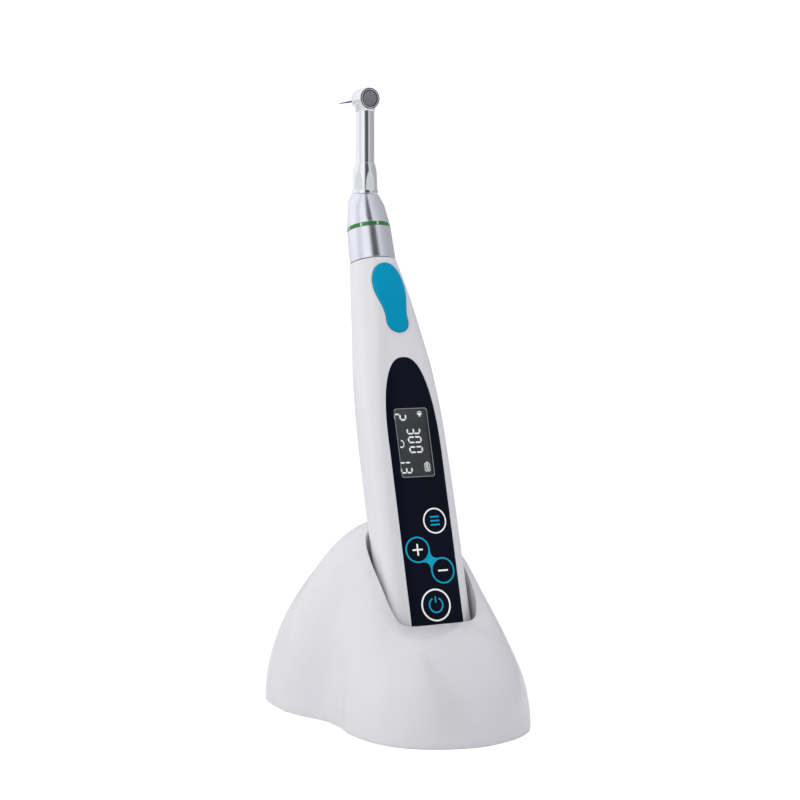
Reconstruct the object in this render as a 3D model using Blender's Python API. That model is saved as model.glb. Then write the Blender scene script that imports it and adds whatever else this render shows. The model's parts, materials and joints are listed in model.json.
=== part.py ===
"""An endodontic motor: a cordless handpiece with a contra-angle and a file, standing in its charging base.

+Z is up, the front is -Y and X runs across the object. Sizes below are in millimetres; meshes are in metres.
The handpiece leans back in the base, so its pieces hang from empties whose Z runs along the local axis.
"""

import math

import bmesh
import bpy
from mathutils import Vector

MM = 0.001
GAP = 0.3
# Facets round visible pieces and round small inner ones.
FINE, COARSE = 28, 14

# Charging base
BASE_HALF_LENGTH = 61.5
RIM_Z = 0.8
# Angle along the base in degrees from the front toe, half width of the foot, top height, squareness across.
BASE_STATIONS = [
    (0, 0, 0, 2.15), (15, 11, 12, 2.6), (22, 17, 18.2, 3.0), (38, 27.5, 30, 3.2), (55, 33.5, 42.2, 2.8),
    (68, 35, 52.5, 3.0), (78, 34, 63, 3.1), (85.5, 34.4, 70, 2.9), (92, 36.6, 72, 2.7),
    (99.5, 40.3, 73.3, 2.25), (109, 43.0, 73, 1.9), (122, 43.1, 65.5, 1.75), (140, 39, 49, 1.9),
    (158, 26, 28.5, 2.15), (180, 0, 0, 2.15),
]
BASE_HEIGHT_POWER = 1.95
# Y and height of the slot's mouth, which slopes down from the rear to a nearly straight front edge.
MOUTH_LINE = [
    (-30, 39.0), (-28.4, 39.8), (-24.6, 45.3), (-19.8, 51.4), (-12.5, 58.0), (-5, 64.0), (2, 68.3), (8, 71.0),
    (14, 72.5),
]
# Share of the way from foot to mouth at which the skin starts to bend towards the mouth's height.
MOUTH_BLEND = 0.34
# How evenly that bend is spread: 1 bends most at the mouth, 3 bends most halfway.
MOUTH_EASE = 1.4
LIP_BAND, FRONT_BAND = 4.8, 11.8
LIP_CREASE, FRONT_CREASE = 1.5, 0.1
DOME_INNER_SCALE = (0.945, 0.96, 0.95)
RIM_ROUND = 1.4
SLOT_HALF_WIDTH, SLOT_FRONT, SLOT_REAR, SLOT_WIDEST = 18.6, 18.7, 11.0, 8.5
SLOT_FRONT_POWER, SLOT_REAR_POWER = 5.5, 2.2
SLEEVE_WALL = 2.2
SLEEVE_END = -151.0
POST_PLACES = {"left": (-31, 20), "right": (31, 20)}
POST_RADIUS = 3.2
FOOT_PLACES = {
    "front_left": (-18, -40), "front_right": (18, -40), "rear_left": (-28, 34), "rear_right": (28, 34),
}
PIN_PLACES = {"left": (-6, -4), "right": (6, -4)}

# Handpiece: its frame's origin is where the metal sheath meets the housing.
LEAN = math.radians(16)
NOSE_Y, NOSE_Z = 29.3, 173.4
# Distance below the nose, half width, front depth, rear depth, depth of the widest line.
HANDLE_STATIONS = [
    (0, 9.1, 9.1, 9.1, 0), (14, 11.0, 12.6, 9.3, 2.0), (30, 12.9, 15.0, 9.3, 4.0), (48, 15.0, 16.35, 9.1, 5.6),
    (75, 16.4, 16.6, 8.9, 7.2), (105, 16.7, 16.6, 8.7, 8.4), (160, 16.7, 16.6, 8.5, 10.0),
]
HANDLE_END = 159.5
HANDLE_WALL = 2.2
SHELL_START = 0.25
SHELL_END = 155.8
PARTING_ANGLE = math.radians(32)
SQUARE_AFTER = 60.0
FRONT_POWER = 3.3
REAR_POWER = 2.6
PANEL_BACK = 14.9
PANEL_TOP, PANEL_BOTTOM = -42.2, -150.0
PANEL_HALF_WIDTH = 11.7
PANEL_ARCH = 40.0
DISPLAY_BOX = (-7.1, 7.1, -88.4, -61.6)
TRIGGER_PROUD, TRIGGER_SHIFT = 0.55, 0.3
KEY_TRAVEL = 0.4
# Key name, X, distance along the axis, radius of the key.
KEYS = [
    ("program_key", 3.75, -105.3, 5.6), ("plus_key", -5.25, -116.1, 5.0),
    ("minus_key", 4.35, -124.5, 5.0), ("power_key", -0.4, -137.2, 6.3),
]
MOTOR_RADIUS = 6.2

# Contra-angle
SHEATH_RADIUS = 9.0
RING_START, RING_END = 13.0, 14.3
# The upper sheath is a cone on the handle's axis crossed by an upright cone round the neck.
UPPER_RADIUS, UPPER_TAPER = 8.28, 0.19
SHOULDER_RADIUS, SHOULDER_TAPER = 5.15, 0.566
NECK_Y = 36.4
BEND_Z, SHEATH_TOP_Z, NUT_TOP_Z = 198.2, 200.3, 212.5
NECK_RADIUS, NECK_BORE = 3.65, 2.7
HEAD_Z, HEAD_FRONT_Y, HEAD_REAR_Y = 237.5, 31.7, 42.3
HEAD_RADIUS = 4.3
FILE_TIP_Y = 61.2
GEAR_MODULE = 0.42
SUN_TEETH, PLANET_TEETH, RING_TEETH = 9, 9, 27
CROWN_TEETH, PINION_TEETH, HEAD_GEAR_TEETH = 8, 8, 16

MATERIALS = {
    "white_plastic": ((0.86, 0.86, 0.88, 1), 0.25, 0),
    "inner_white": ((0.78, 0.78, 0.79, 1), 0.5, 0),
    "panel_black": ((0.006, 0.008, 0.02, 1), 0.12, 0),
    "display_glass": ((0.10, 0.11, 0.11, 1), 0.1, 0),
    "trigger_blue": ((0.003, 0.26, 0.45, 1), 0.35, 0),
    "satin_nickel": ((0.62, 0.62, 0.64, 1), 0.35, 1),
    "chrome": ((0.8, 0.8, 0.84, 1), 0.12, 1),
    "ring_green": ((0.03, 0.35, 0.06, 1), 0.3, 0),
    "cap_grey": ((0.22, 0.21, 0.24, 1), 0.4, 0.6),
    "steel": ((0.5, 0.5, 0.52, 1), 0.3, 1),
    "file_metal": ((0.12, 0.14, 0.45, 1), 0.3, 0.8),
    "brass": ((0.75, 0.55, 0.2, 1), 0.3, 1),
    "board_green": ((0.02, 0.18, 0.07, 1), 0.5, 0),
    "battery_wrap": ((0.05, 0.15, 0.35, 1), 0.4, 0),
    "rubber": ((0.03, 0.03, 0.03, 1), 0.8, 0),
    "black_plastic": ((0.03, 0.03, 0.035, 1), 0.5, 0),
}


# ---------------------------------------------------------------- building blocks

def clear_scene():
    for obj in list(bpy.data.objects):
        bpy.data.objects.remove(obj)


def material(name):
    found = bpy.data.materials.get(name)
    if found:
        return found
    made = bpy.data.materials.new(name)
    made.use_nodes = True
    shader = made.node_tree.nodes["Principled BSDF"]
    color, roughness, metallic = MATERIALS[name]
    shader.inputs["Base Color"].default_value = color
    shader.inputs["Roughness"].default_value = roughness
    shader.inputs["Metallic"].default_value = metallic
    made.diffuse_color = color
    return made


def frame_empty(name, at, tilt=0.0, parent=None):
    """An empty at a point in millimetres, turned about X by tilt."""
    empty = bpy.data.objects.new(name, None)
    bpy.context.collection.objects.link(empty)
    empty.parent = parent
    empty.location = [v * MM for v in at]
    empty.rotation_euler = (tilt, 0, 0)
    return empty


def finish_mesh(name, bm, look, frame, at, sharp=35):
    """Turns a bmesh in millimetres into an object placed in a frame."""
    bmesh.ops.remove_doubles(bm, verts=bm.verts, dist=1e-5)
    bmesh.ops.recalc_face_normals(bm, faces=bm.faces)
    bmesh.ops.scale(bm, vec=(MM, MM, MM), verts=bm.verts)
    mesh = bpy.data.meshes.new(name)
    bm.to_mesh(mesh)
    bm.free()
    mesh.shade_smooth()
    mesh.set_sharp_from_angle(angle=math.radians(sharp))
    obj = bpy.data.objects.new(name, mesh)
    bpy.context.collection.objects.link(obj)
    mesh.materials.append(material(look))
    obj.parent = frame
    obj.location = [v * MM for v in at]
    return obj


def ringed(name, rings, look, frame=None, at=(0, 0, 0), tube=False, sharp=35):
    """A solid whose surface runs through rings of points. A tube closes on its first ring, others by caps."""
    bm = bmesh.new()
    loops = [[bm.verts.new(point) for point in ring] for ring in rings]
    pairs = list(zip(loops, loops[1:]))
    if tube:
        pairs.append((loops[-1], loops[0]))
    else:
        bm.faces.new(loops[0])
        bm.faces.new(loops[-1])
    for low, high in pairs:
        for i in range(len(low)):
            j = (i + 1) % len(low)
            bm.faces.new((low[i], low[j], high[j], high[i]))
    return finish_mesh(name, bm, look, frame, at, sharp)


def circle(radius, height, steps, turn=0.0):
    angles = [turn + 2 * math.pi * i / steps for i in range(steps)]
    return [(radius * math.cos(a), radius * math.sin(a), height) for a in angles]


def turned(name, outline, look, frame=None, at=(0, 0, 0), steps=COARSE, tube=False, sharp=35):
    """A turned solid from (radius, height) pairs about the frame's Z."""
    rings = [circle(radius, height, steps) for radius, height in outline]
    return ringed(name, rings, look, frame, at, tube, sharp)


def pipe(name, outer, inner, low, high, look, frame=None, at=(0, 0, 0), steps=COARSE):
    outline = [(inner, low), (outer, low), (outer, high), (inner, high)]
    return turned(name, outline, look, frame, at, steps, tube=True)


def prism(name, outline, low, high, look, frame=None, at=(0, 0, 0), forward=False):
    """A flat outline pushed from low to high. With forward set it lies in XZ and is pushed along -Y."""
    if forward:
        rings = [[(x, -depth, z) for x, z in outline] for depth in (low, high)]
    else:
        rings = [[(x, y, height) for x, y in outline] for height in (low, high)]
    return ringed(name, rings, look, frame, at)


def block(name, low, high, look, frame=None, at=(0, 0, 0)):
    outline = [(low[0], low[1]), (high[0], low[1]), (high[0], high[1]), (low[0], high[1])]
    return prism(name, outline, low[2], high[2], look, frame, at)


def grouped(name, pieces, look):
    """Joins separate solids into one named object."""
    for piece in pieces[1:]:
        piece.data.transform(pieces[0].matrix_basis.inverted() @ piece.matrix_basis)
    bm = bmesh.new()
    for piece in pieces:
        bm.from_mesh(piece.data)
    first = pieces[0]
    bm.to_mesh(first.data)
    bm.free()
    for piece in pieces[1:]:
        bpy.data.objects.remove(piece)
    first.name = name
    first.data.name = name
    first.data.materials.clear()
    first.data.materials.append(material(look))
    first.data.set_sharp_from_angle(angle=math.radians(35))
    return first


def combine(obj, other, operation):
    """Cuts or joins a helper solid, which is then left out of the part."""
    other.hide_render = True
    other.display_type = "WIRE"
    modifier = obj.modifiers.new(other.name, "BOOLEAN")
    modifier.operation = operation
    modifier.object = other
    modifier.solver = "EXACT"
    return obj


def cut(obj, other):
    return combine(obj, other, "DIFFERENCE")


def curve_through(stations, column, at):
    """A smooth curve through one column of a table whose first column is the position."""
    xs = [row[0] for row in stations]
    ys = [row[column] for row in stations]
    at = min(max(at, xs[0]), xs[-1])
    k = max(i for i in range(len(xs) - 1) if xs[i] <= at)

    def slope(i):
        if i in (0, len(xs) - 1):
            j = min(i, len(xs) - 2)
            return (ys[j + 1] - ys[j]) / (xs[j + 1] - xs[j])
        before = (ys[i] - ys[i - 1]) / (xs[i] - xs[i - 1])
        after = (ys[i + 1] - ys[i]) / (xs[i + 1] - xs[i])
        if before * after <= 0:
            return 0.0
        return 2 * before * after / (before + after)

    step = xs[k + 1] - xs[k]
    t = (at - xs[k]) / step
    start, end = ys[k], ys[k + 1]
    return (
        (2 * t**3 - 3 * t**2 + 1) * start
        + (t**3 - 2 * t**2 + t) * step * slope(k)
        + (3 * t**2 - 2 * t**3) * end
        + (t**3 - t**2) * step * slope(k + 1)
    )


def signed_power(value, power):
    return math.copysign(abs(value) ** power, value)


# ---------------------------------------------------------------- shape of the charging base

def base_angle(y):
    return math.degrees(math.acos(max(-1.0, min(1.0, -y / BASE_HALF_LENGTH))))


def base_foot(angle):
    """Point of the base's foot outline. Angle 0 is +X and -90 degrees is the front."""
    along = math.degrees(math.asin(math.sin(angle))) + 90
    side = 1 if math.cos(angle) >= 0 else -1
    y = -BASE_HALF_LENGTH * math.cos(math.radians(along))
    return side * curve_through(BASE_STATIONS, 1, along), y


def base_height(x, y):
    """Height of the base's outer form over a point inside its foot, without the slot's mouth."""
    along = base_angle(y)
    width = max(curve_through(BASE_STATIONS, 1, along), 1e-6)
    top, power = curve_through(BASE_STATIONS, 2, along), curve_through(BASE_STATIONS, 3, along)
    share = min(1.0, abs(x) / width)
    return top * (1 - share**power) ** (1 / BASE_HEIGHT_POWER)


def slot_section(angle, grow=0.0):
    """Slot outline in the handpiece frame: wider than the handpiece, with a nearly straight front."""
    is_front = math.sin(angle) < 0
    power = SLOT_FRONT_POWER if is_front else SLOT_REAR_POWER
    depth = SLOT_FRONT + grow - SLOT_WIDEST if is_front else SLOT_REAR + grow + SLOT_WIDEST
    x = (SLOT_HALF_WIDTH + grow) * signed_power(math.cos(angle), 2 / power)
    y = depth * signed_power(math.sin(angle), 2 / power) - SLOT_WIDEST
    return x, y


def handpiece_point(x, y, z):
    """World place of a point given in the handpiece frame, all in millimetres."""
    return Vector((
        x,
        NOSE_Y + y * math.cos(LEAN) + z * math.sin(LEAN),
        NOSE_Z - y * math.sin(LEAN) + z * math.cos(LEAN),
    ))


def lip_height(angle):
    """Distance along the handpiece axis at which the slot's wall meets its mouth."""
    x, y = slot_section(angle)
    low, high = SLEEVE_END, -40.0
    for _ in range(40):
        middle = (low + high) / 2
        point = handpiece_point(x, y, middle)
        inside = point.z < curve_through(MOUTH_LINE, 1, point.y)
        low, high = (middle, high) if inside else (low, middle)
    return low


# ---------------------------------------------------------------- shape of the handpiece

def handle_section(down, angle, inset=0.0):
    """Point of the housing's section. Angle -90 degrees is the front, where the panel is."""
    half_width = curve_through(HANDLE_STATIONS, 1, down) - inset
    front = curve_through(HANDLE_STATIONS, 2, down) - inset
    rear = curve_through(HANDLE_STATIONS, 3, down) - inset
    widest = curve_through(HANDLE_STATIONS, 4, down)
    squareness = min(1.0, down / SQUARE_AFTER)
    is_front = math.sin(angle) < 0
    power = 2 + squareness * ((FRONT_POWER if is_front else REAR_POWER) - 2)
    depth = front - widest if is_front else rear + widest
    x = half_width * signed_power(math.cos(angle), 2 / power)
    y = depth * signed_power(math.sin(angle), 2 / power) - widest
    return x, y


def handle_ring(down, inset=0.0, steps=32):
    angles = [2 * math.pi * i / steps for i in range(steps)]
    return [(*handle_section(down, a, inset), -down) for a in angles]


def handle_block(name, look, frame, start, end, grow=0.0, stations=9, steps=32):
    rows = [start + (end - start) * i / (stations - 1) for i in range(stations)]
    rings = [handle_ring(down, -grow, steps) for down in rows]
    return ringed(name, rings, look, frame)


def shell_half(name, frame, first, last, points, stations):
    """A wall of the housing between two section angles."""
    rows = [SHELL_START + (SHELL_END - SHELL_START) * i / (stations - 1) for i in range(stations)]
    angles = [first + (last - first) * i / (points - 1) for i in range(points)]
    rings = []
    for down in rows:
        outer = [(*handle_section(down, a), -down) for a in angles]
        inner = [(*handle_section(down, a, HANDLE_WALL), -down) for a in reversed(angles)]
        rings.append(outer + inner)
    return ringed(name, rings, "white_plastic", frame)


def panel_outline(grow=0.0, points=14):
    """Arched panel outline in X and Z of the handpiece frame."""
    width, bottom = PANEL_HALF_WIDTH + grow, PANEL_BOTTOM - grow
    length = PANEL_ARCH + grow
    centre = PANEL_TOP - PANEL_ARCH
    arch = []
    for i in range(points + 1):
        angle = math.pi * i / points
        arch.append((width * math.cos(angle), centre + length * math.sin(angle)))
    return arch + [(-width, bottom), (width, bottom)]


def trigger_outline(grow=0.0):
    """Trigger outline like a bowling pin upside down: a wide top bulb, a waist and a small bottom bulb."""
    half = [
        (-3.1, 0.0), (-3.5, 2.2), (-4.8, 4.1), (-7.0, 5.5), (-9.5, 6.3), (-12.2, 6.6), (-14.8, 6.5),
        (-17.4, 6.0), (-19.9, 5.35), (-22.4, 4.75), (-25.0, 4.45), (-27.0, 4.55), (-28.7, 4.4), (-30.3, 3.65),
        (-31.6, 2.1), (-32.15, 0.0),
    ]
    right = [(x, z) for z, x in half[1:-1]]
    outline = [(0.0, half[0][0])] + right + [(0.0, half[-1][0])] + [(-x, z) for x, z in reversed(right)]
    middle = (half[0][0] + half[-1][0]) / 2
    scale_x, scale_z = 1 + grow / 6.6, 1 + grow / 14.5
    return [(x * scale_x + TRIGGER_SHIFT, middle + (z - middle) * scale_z) for x, z in outline]


# ---------------------------------------------------------------- gears

def gear_outline(teeth, root, tip, turn=0.0):
    """Spur tooth outline. Teeth are thin, so that the mesh has free play. A tooth is centred on turn."""
    pitch = 2 * math.pi / teeth
    points = []
    for k in range(teeth):
        middle = turn + k * pitch
        for radius, share in ((root, -0.22), (tip, -0.11), (tip, 0.11), (root, 0.22)):
            angle = middle + share * pitch
            points.append((radius * math.cos(angle), radius * math.sin(angle)))
    return points


def gear(name, outline, bore, low, high, look, frame, at=(0, 0, 0)):
    """A toothed ring: outline and bore have points at the same angles."""
    around = [math.atan2(y, x) for x, y in outline]
    hole = [(bore * math.cos(a), bore * math.sin(a)) for a in around]
    rings = [
        [(x, y, low) for x, y in hole],
        [(x, y, low) for x, y in outline],
        [(x, y, high) for x, y in outline],
        [(x, y, high) for x, y in hole],
    ]
    return ringed(name, rings, look, frame, at, tube=True)


def crown_gear(name, teeth, inner, outer, base, face, tip, turn, look, frame, at=(0, 0, 0)):
    """A disc with teeth on its face, from base to face, the teeth reaching tip. A tooth is centred on turn."""
    bm = bmesh.new()
    pitch = 2 * math.pi / teeth
    corners = []
    for k in range(teeth):
        for share, tip_share in ((-0.2, -0.12), (0.2, 0.12)):
            angle = turn + (k + share) * pitch
            tip_angle = turn + (k + tip_share) * pitch
            column = []
            for radius in (inner, outer):
                flat = (radius * math.cos(angle), radius * math.sin(angle))
                top = (radius * math.cos(tip_angle), radius * math.sin(tip_angle))
                column.append((
                    bm.verts.new((*flat, base)), bm.verts.new((*flat, face)), bm.verts.new((*top, tip))
                ))
            corners.append(column)
    for k, (here, there) in enumerate(zip(corners, corners[1:] + corners[:1])):
        (in_0, in_1, in_2), (out_0, out_1, out_2) = here
        (next_in_0, next_in_1, next_in_2), (next_out_0, next_out_1, next_out_2) = there
        bm.faces.new((in_0, out_0, next_out_0, next_in_0))
        bm.faces.new((in_0, in_1, next_in_1, next_in_0))
        bm.faces.new((out_0, out_1, next_out_1, next_out_0))
        if k % 2:
            bm.faces.new((in_1, out_1, next_out_1, next_in_1))
            continue
        bm.faces.new((in_1, in_2, next_in_2, next_in_1))
        bm.faces.new((out_1, out_2, next_out_2, next_out_1))
        bm.faces.new((in_2, out_2, next_out_2, next_in_2))
        bm.faces.new((in_1, out_1, out_2, in_2))
        bm.faces.new((next_in_1, next_out_1, next_out_2, next_in_2))
    return finish_mesh(name, bm, look, frame, at)


# ---------------------------------------------------------------- charging base

def make_dome():
    """The white shell: up from the rim, over the mouth into the slot, down its wall, and back inside."""
    steps, skin_rows = 40, 8
    angles = [2 * math.pi * i / steps for i in range(steps)]
    feet = [Vector(base_foot(a)) for a in angles]
    walls = [(a, lip_height(a)) for a in angles]
    lips = [handpiece_point(*slot_section(a), h) for a, h in walls]
    spans = [(lip.to_2d() - foot).length for lip, foot in zip(lips, feet)]
    fronts = [max(0.0, -math.sin(a)) ** 4 for a in angles]
    bands = [LIP_BAND + (FRONT_BAND - LIP_BAND) * front for front in fronts]
    creases = [LIP_CREASE + (FRONT_CREASE - LIP_CREASE) * front for front in fronts]
    top = max(row[2] for row in BASE_STATIONS)

    def outer(plan):
        return base_height(*plan) * (1 - RIM_ROUND / top) + RIM_ROUND

    lifts = [lip.z + crease - outer(lip.to_2d()) for lip, crease in zip(lips, creases)]

    def skin_point(i, reach):
        """A point of the outer surface, at a distance in plan from the slot's edge."""
        share = 1 - reach / spans[i]
        plan = feet[i].lerp(lips[i].to_2d(), share)
        t = max(0.0, (share - MOUTH_BLEND) / (1 - MOUTH_BLEND))
        bend = lifts[i] * t * t * (MOUTH_EASE - (MOUTH_EASE - 1) * t)
        drop = creases[i] * max(0.0, 1 - reach / bands[i]) ** 1.25
        return Vector((plan.x, plan.y, max(outer(plan) + bend - drop, RIM_Z)))

    def skin_ring(share):
        """A ring at a share of the way from the foot to the band round the mouth."""
        return [skin_point(i, spans[i] - (spans[i] - bands[i]) * share) for i in range(steps)]

    shares = [1 - math.cos(math.pi / 2 * row / skin_rows) for row in range(skin_rows + 1)]
    inset_rim = 1 - 0.7 / 45
    rings = [[(foot.x * inset_rim, foot.y * inset_rim, RIM_Z) for foot in feet]]
    rings += [skin_ring(share) for share in shares]
    rings.append([skin_point(i, bands[i] / 2) for i in range(steps)])
    rings.append([skin_point(i, GAP) for i in range(steps)])
    rings.append([handpiece_point(*slot_section(a), h - GAP) for a, h in walls])
    rings.append([handpiece_point(*slot_section(a), SLEEVE_END) for a in angles])
    rings.append([handpiece_point(*slot_section(a, SLEEVE_WALL), SLEEVE_END) for a in angles])
    rings.append([handpiece_point(*slot_section(a, SLEEVE_WALL), h - 5) for a, h in walls])
    scale = Vector(DOME_INNER_SCALE)
    inside = [[point * scale for point in skin_ring(share)] for share in reversed(shares[: skin_rows - 1])]
    rings += inside[:-1]
    rings.append([Vector((point.x, point.y, RIM_Z)) for point in inside[-1]])
    dome = ringed("base_dome", rings, "white_plastic", tube=True, sharp=50)
    posts = []
    for side, (x, y) in POST_PLACES.items():
        around = [base_height(x + px, y + py) for px, py, _ in circle(POST_RADIUS, 0, 8)]
        outline = [(POST_RADIUS, 4.2), (POST_RADIUS, min(around) - 0.8)]
        posts.append(turned(f"post_{side}", outline, "white_plastic", None, (x, y, 0), 8))
    combine(dome, grouped("base_posts", posts, "white_plastic"), "UNION")
    cut(dome, screw_holes("base_post_holes", 3.0, 11.0))
    cut(dome, turned("inlet_hole", [(4.3, 40), (4.3, 70)], "white_plastic", REAR_AXIS))


def screw_holes(name, low, high):
    """Cutters for the base screws, which go up through the plate into the posts."""
    holes = [turned(f"{name}_{side}", [(1.5, low), (1.5, high)], "steel", None, (x, y, 0), 8)
             for side, (x, y) in POST_PLACES.items()]
    return grouped(name, holes, "steel")


def pin_holes(name, radius, low, high, frame):
    """Cutters on the axes of the two charging pins."""
    holes = [turned(f"{name}_{side}", [(radius, low), (radius, high)], "steel", frame, (x, y, 0))
             for side, (x, y) in PIN_PLACES.items()]
    return grouped(name, holes, "steel")


def make_base_underside():
    steps = 32
    outline = []
    for i in range(steps):
        x, y = base_foot(2 * math.pi * i / steps)
        outline.append((x * 0.915, y * 0.935))
    plate = prism("base_plate", outline, 1.5, 3.6, "inner_white")
    cut(plate, screw_holes("plate_holes", 0, 6))
    for corner, (x, y) in FOOT_PLACES.items():
        turned(f"rubber_foot_{corner}", [(5.1, 0), (5.4, 0.3), (5.4, 1.2)], "rubber", None, (x, y, 0))
    profile = [(2.5, 0.5), (2.5, 1.2), (1.2, 1.2), (1.2, 10.0)]
    for side, (x, y) in POST_PLACES.items():
        turned(f"base_screw_{side}", profile, "steel", None, (x, y, 0))
    ballast = [(-19, -44), (19, -44), (22, -38), (22, -31), (-22, -31), (-22, -38)]
    prism("ballast_plate", ballast, 4.0, 9.0, "steel")


def make_cradle_and_charging(handpiece):
    """The cup that the handpiece's end drops into, with the charging board and its sprung pins under it."""
    steps = 32
    angles = [2 * math.pi * i / steps for i in range(steps)]
    clearance, wall = 0.5, 2.0

    def cup(angle, grow, height):
        x, y = handle_section(HANDLE_END, angle, -grow)
        return (x, y, height)

    top = SLEEVE_END - GAP
    rings = [
        [cup(a, clearance + wall, -162.2) for a in angles],
        [cup(a, clearance + wall, top - 2.0) for a in angles],
        [(*slot_section(a, SLEEVE_WALL), top - 1.9) for a in angles],
        [(*slot_section(a, SLEEVE_WALL), top) for a in angles],
        [cup(a, clearance, top) for a in angles],
        [cup(a, clearance, -160.2) for a in angles],
    ]
    cradle = ringed("cradle", rings, "inner_white", handpiece)
    cut(cradle, pin_holes("cradle_holes", 1.6, -163, -159, handpiece))
    for side, (x, y) in PIN_PLACES.items():
        profile = [(0.7, -166.9), (0.7, -165.2), (1.25, -165.2), (1.25, -160.8), (0.9, -159.8)]
        turned(f"charge_pin_{side}", profile, "brass", handpiece, (x, y, 0))
    holder = block("pin_holder", (-9, -7, -166.4), (9, -1, -162.5), "black_plastic", handpiece)
    cut(holder, pin_holes("holder_holes", 1.4, -167, -162, handpiece))
    board = block("charge_board", (-13, -14, -168.2), (13, 4, -166.7), "board_green", handpiece)
    cut(board, pin_holes("board_holes", 1.1, -169, -166, handpiece))


def make_inlet():
    """Round power inlet in the back wall, facing the rear."""
    outline = [(1.1, 46.0), (3.9, 46.0), (3.9, 60.0), (2.8, 60.0), (2.8, 51.0), (1.1, 51.0)]
    inlet = turned("power_inlet", outline, "black_plastic", REAR_AXIS, steps=20, tube=True)
    pin = turned("inlet_pin", [(1.4, 45.5), (1.4, 48), (1.0, 48), (1.0, 58.0)], "steel", REAR_AXIS)
    combine(inlet, pin, "UNION")


# ---------------------------------------------------------------- handpiece housing

def make_shells(frame):
    front = shell_half("front_shell", frame, -math.pi - PARTING_ANGLE, PARTING_ANGLE, 25, 11)
    slit = math.radians(1.6)
    shell_half("rear_shell", frame, PARTING_ANGLE + slit, math.pi - PARTING_ANGLE - slit, 11, 9)
    cut(front, prism("trigger_opening", trigger_outline(GAP), 4, 24, "white_plastic", frame, forward=True))
    recess = panel_outline(GAP)
    cut(front, prism("panel_recess", recess, PANEL_BACK - GAP, 24, "white_plastic", frame, forward=True))
    x0, x1, z0, z1 = DISPLAY_BOX
    window = [(x0 + 0.4, z0 + 0.4), (x1 - 0.4, z0 + 0.4), (x1 - 0.4, z1 - 0.4), (x0 + 0.4, z1 - 0.4)]
    cut(front, prism("display_hole", window, 9, 24, "white_plastic", frame, forward=True))
    stems = [key_post(f"stem_hole_{name}", x, z, 3.0, 9, 24, frame) for name, x, z, radius in KEYS]
    cut(front, grouped("stem_holes", stems, "white_plastic"))


def key_post(name, x, z, radius, low, high, frame, steps=COARSE, look="panel_black"):
    outline = []
    for i in range(steps):
        angle = 2 * math.pi * i / steps
        outline.append((x + radius * math.cos(angle), z + radius * math.sin(angle)))
    return prism(name, outline, low, high, look, frame, forward=True)


def face_limit(name, frame, start, end, grow=0.0):
    """Solid of the housing's outer surface, which trims the panel, keys and trigger to its curve."""
    limit = handle_block(name, "white_plastic", frame, start, end, grow)
    limit.hide_render = True
    limit.display_type = "WIRE"
    return limit


def make_face(frame):
    """Panel, lens, display and keys, all trimmed to the housing's front curve."""
    surface = face_limit("face_surface", frame, 36, 154)
    panel = prism("display_panel", panel_outline(), PANEL_BACK, 20, "panel_black", frame, forward=True)
    combine(panel, surface, "INTERSECT")
    x0, x1, z0, z1 = DISPLAY_BOX
    window = [(x0, z0), (x1, z0), (x1, z1), (x0, z1)]
    cut(panel, prism("lens_opening", window, 9, 24, "panel_black", frame, forward=True))
    wells = [key_post(f"well_{name}", x, z, radius + 0.25, 9, 24, frame, 24) for name, x, z, radius in KEYS]
    cut(panel, grouped("key_wells", wells, "panel_black"))
    inner = [(x0 + 0.15, z0 + 0.15), (x1 - 0.15, z0 + 0.15), (x1 - 0.15, z1 - 0.15), (x0 + 0.15, z1 - 0.15)]
    lens = prism("display_lens", inner, PANEL_BACK, 20, "display_glass", frame, forward=True)
    combine(lens, surface, "INTERSECT")
    low, high = (x0 + 0.7, GAP - PANEL_BACK, z0 + 0.7), (x1 - 0.7, -11.4, z1 - 0.7)
    block("lcd_module", low, high, "black_plastic", frame)
    for name, x, z, radius in KEYS:
        empty = frame_empty(f"{name}_axis", (x, -PANEL_BACK, z), 0, frame)
        key = key_post(name, 0, 0, radius, KEY_TRAVEL + 0.1, 5, empty, 24)
        combine(key, surface, "INTERSECT")
        stem = key_post(f"{name}_stem", 0, 0, 2.6, -2.7, 1.2, empty)
        combine(key, stem, "UNION")


def make_trigger(frame):
    proud = face_limit("trigger_surface", frame, 1, 36, TRIGGER_PROUD)
    button = prism("trigger_button", trigger_outline(), 9.2, 24, "trigger_blue", frame, forward=True)
    combine(button, proud, "INTERSECT")
    block("trigger_switch", (-3, -8.3, -18.5), (3, -7.2, -12.5), "black_plastic", frame)


def make_electronics(frame):
    block("main_board", (-11, -9.3, -149), (11, -8.1, -52), "board_green", frame)
    mat = block("key_mat", (-11, -10.6, -147), (11, -9.6, -97), "rubber", frame)
    domes = [key_post(f"dome_{name}", x, z, 2.4, 10.0, 11.5, frame) for name, x, z, radius in KEYS]
    combine(mat, grouped("key_domes", domes, "rubber"), "UNION")
    turned("battery", [(6.2, -139), (6.6, -138.4), (6.6, -90.6), (6.2, -90), (2.5, -90), (2.5, -89)],
           "battery_wrap", frame, (0, -0.6, 0), 18)
    turned("battery_contact", [(4.6, -141.2), (4.6, -140.6), (1.6, -139.4)], "brass", frame, (0, -0.6, 0))


def make_end_cap(frame):
    rows = [(SHELL_END + GAP, 0), (157.8, 0), (158.9, 0.5), (HANDLE_END, 1.8)]
    rings = [handle_ring(down, inset) for down, inset in reversed(rows)]
    cap = ringed("end_cap", rings, "white_plastic", frame)
    cut(cap, pin_holes("contact_holes", 2.5, -161, -155, frame))
    for side, (x, y) in PIN_PLACES.items():
        profile = [(2.2, -159.4), (2.2, -157), (1.0, -156.6), (1.0, -153.5)]
        turned(f"charge_contact_{side}", profile, "brass", frame, (x, y, 0))
    rear = bpy.data.objects["rear_shell"]
    cut(rear, key_post("rear_screw_hole", 0, -146, 1.9, -12, -4, frame))
    key_post("shell_screw", 0, -146, 1.6, -8.2, -6.4, frame, look="steel")


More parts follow.
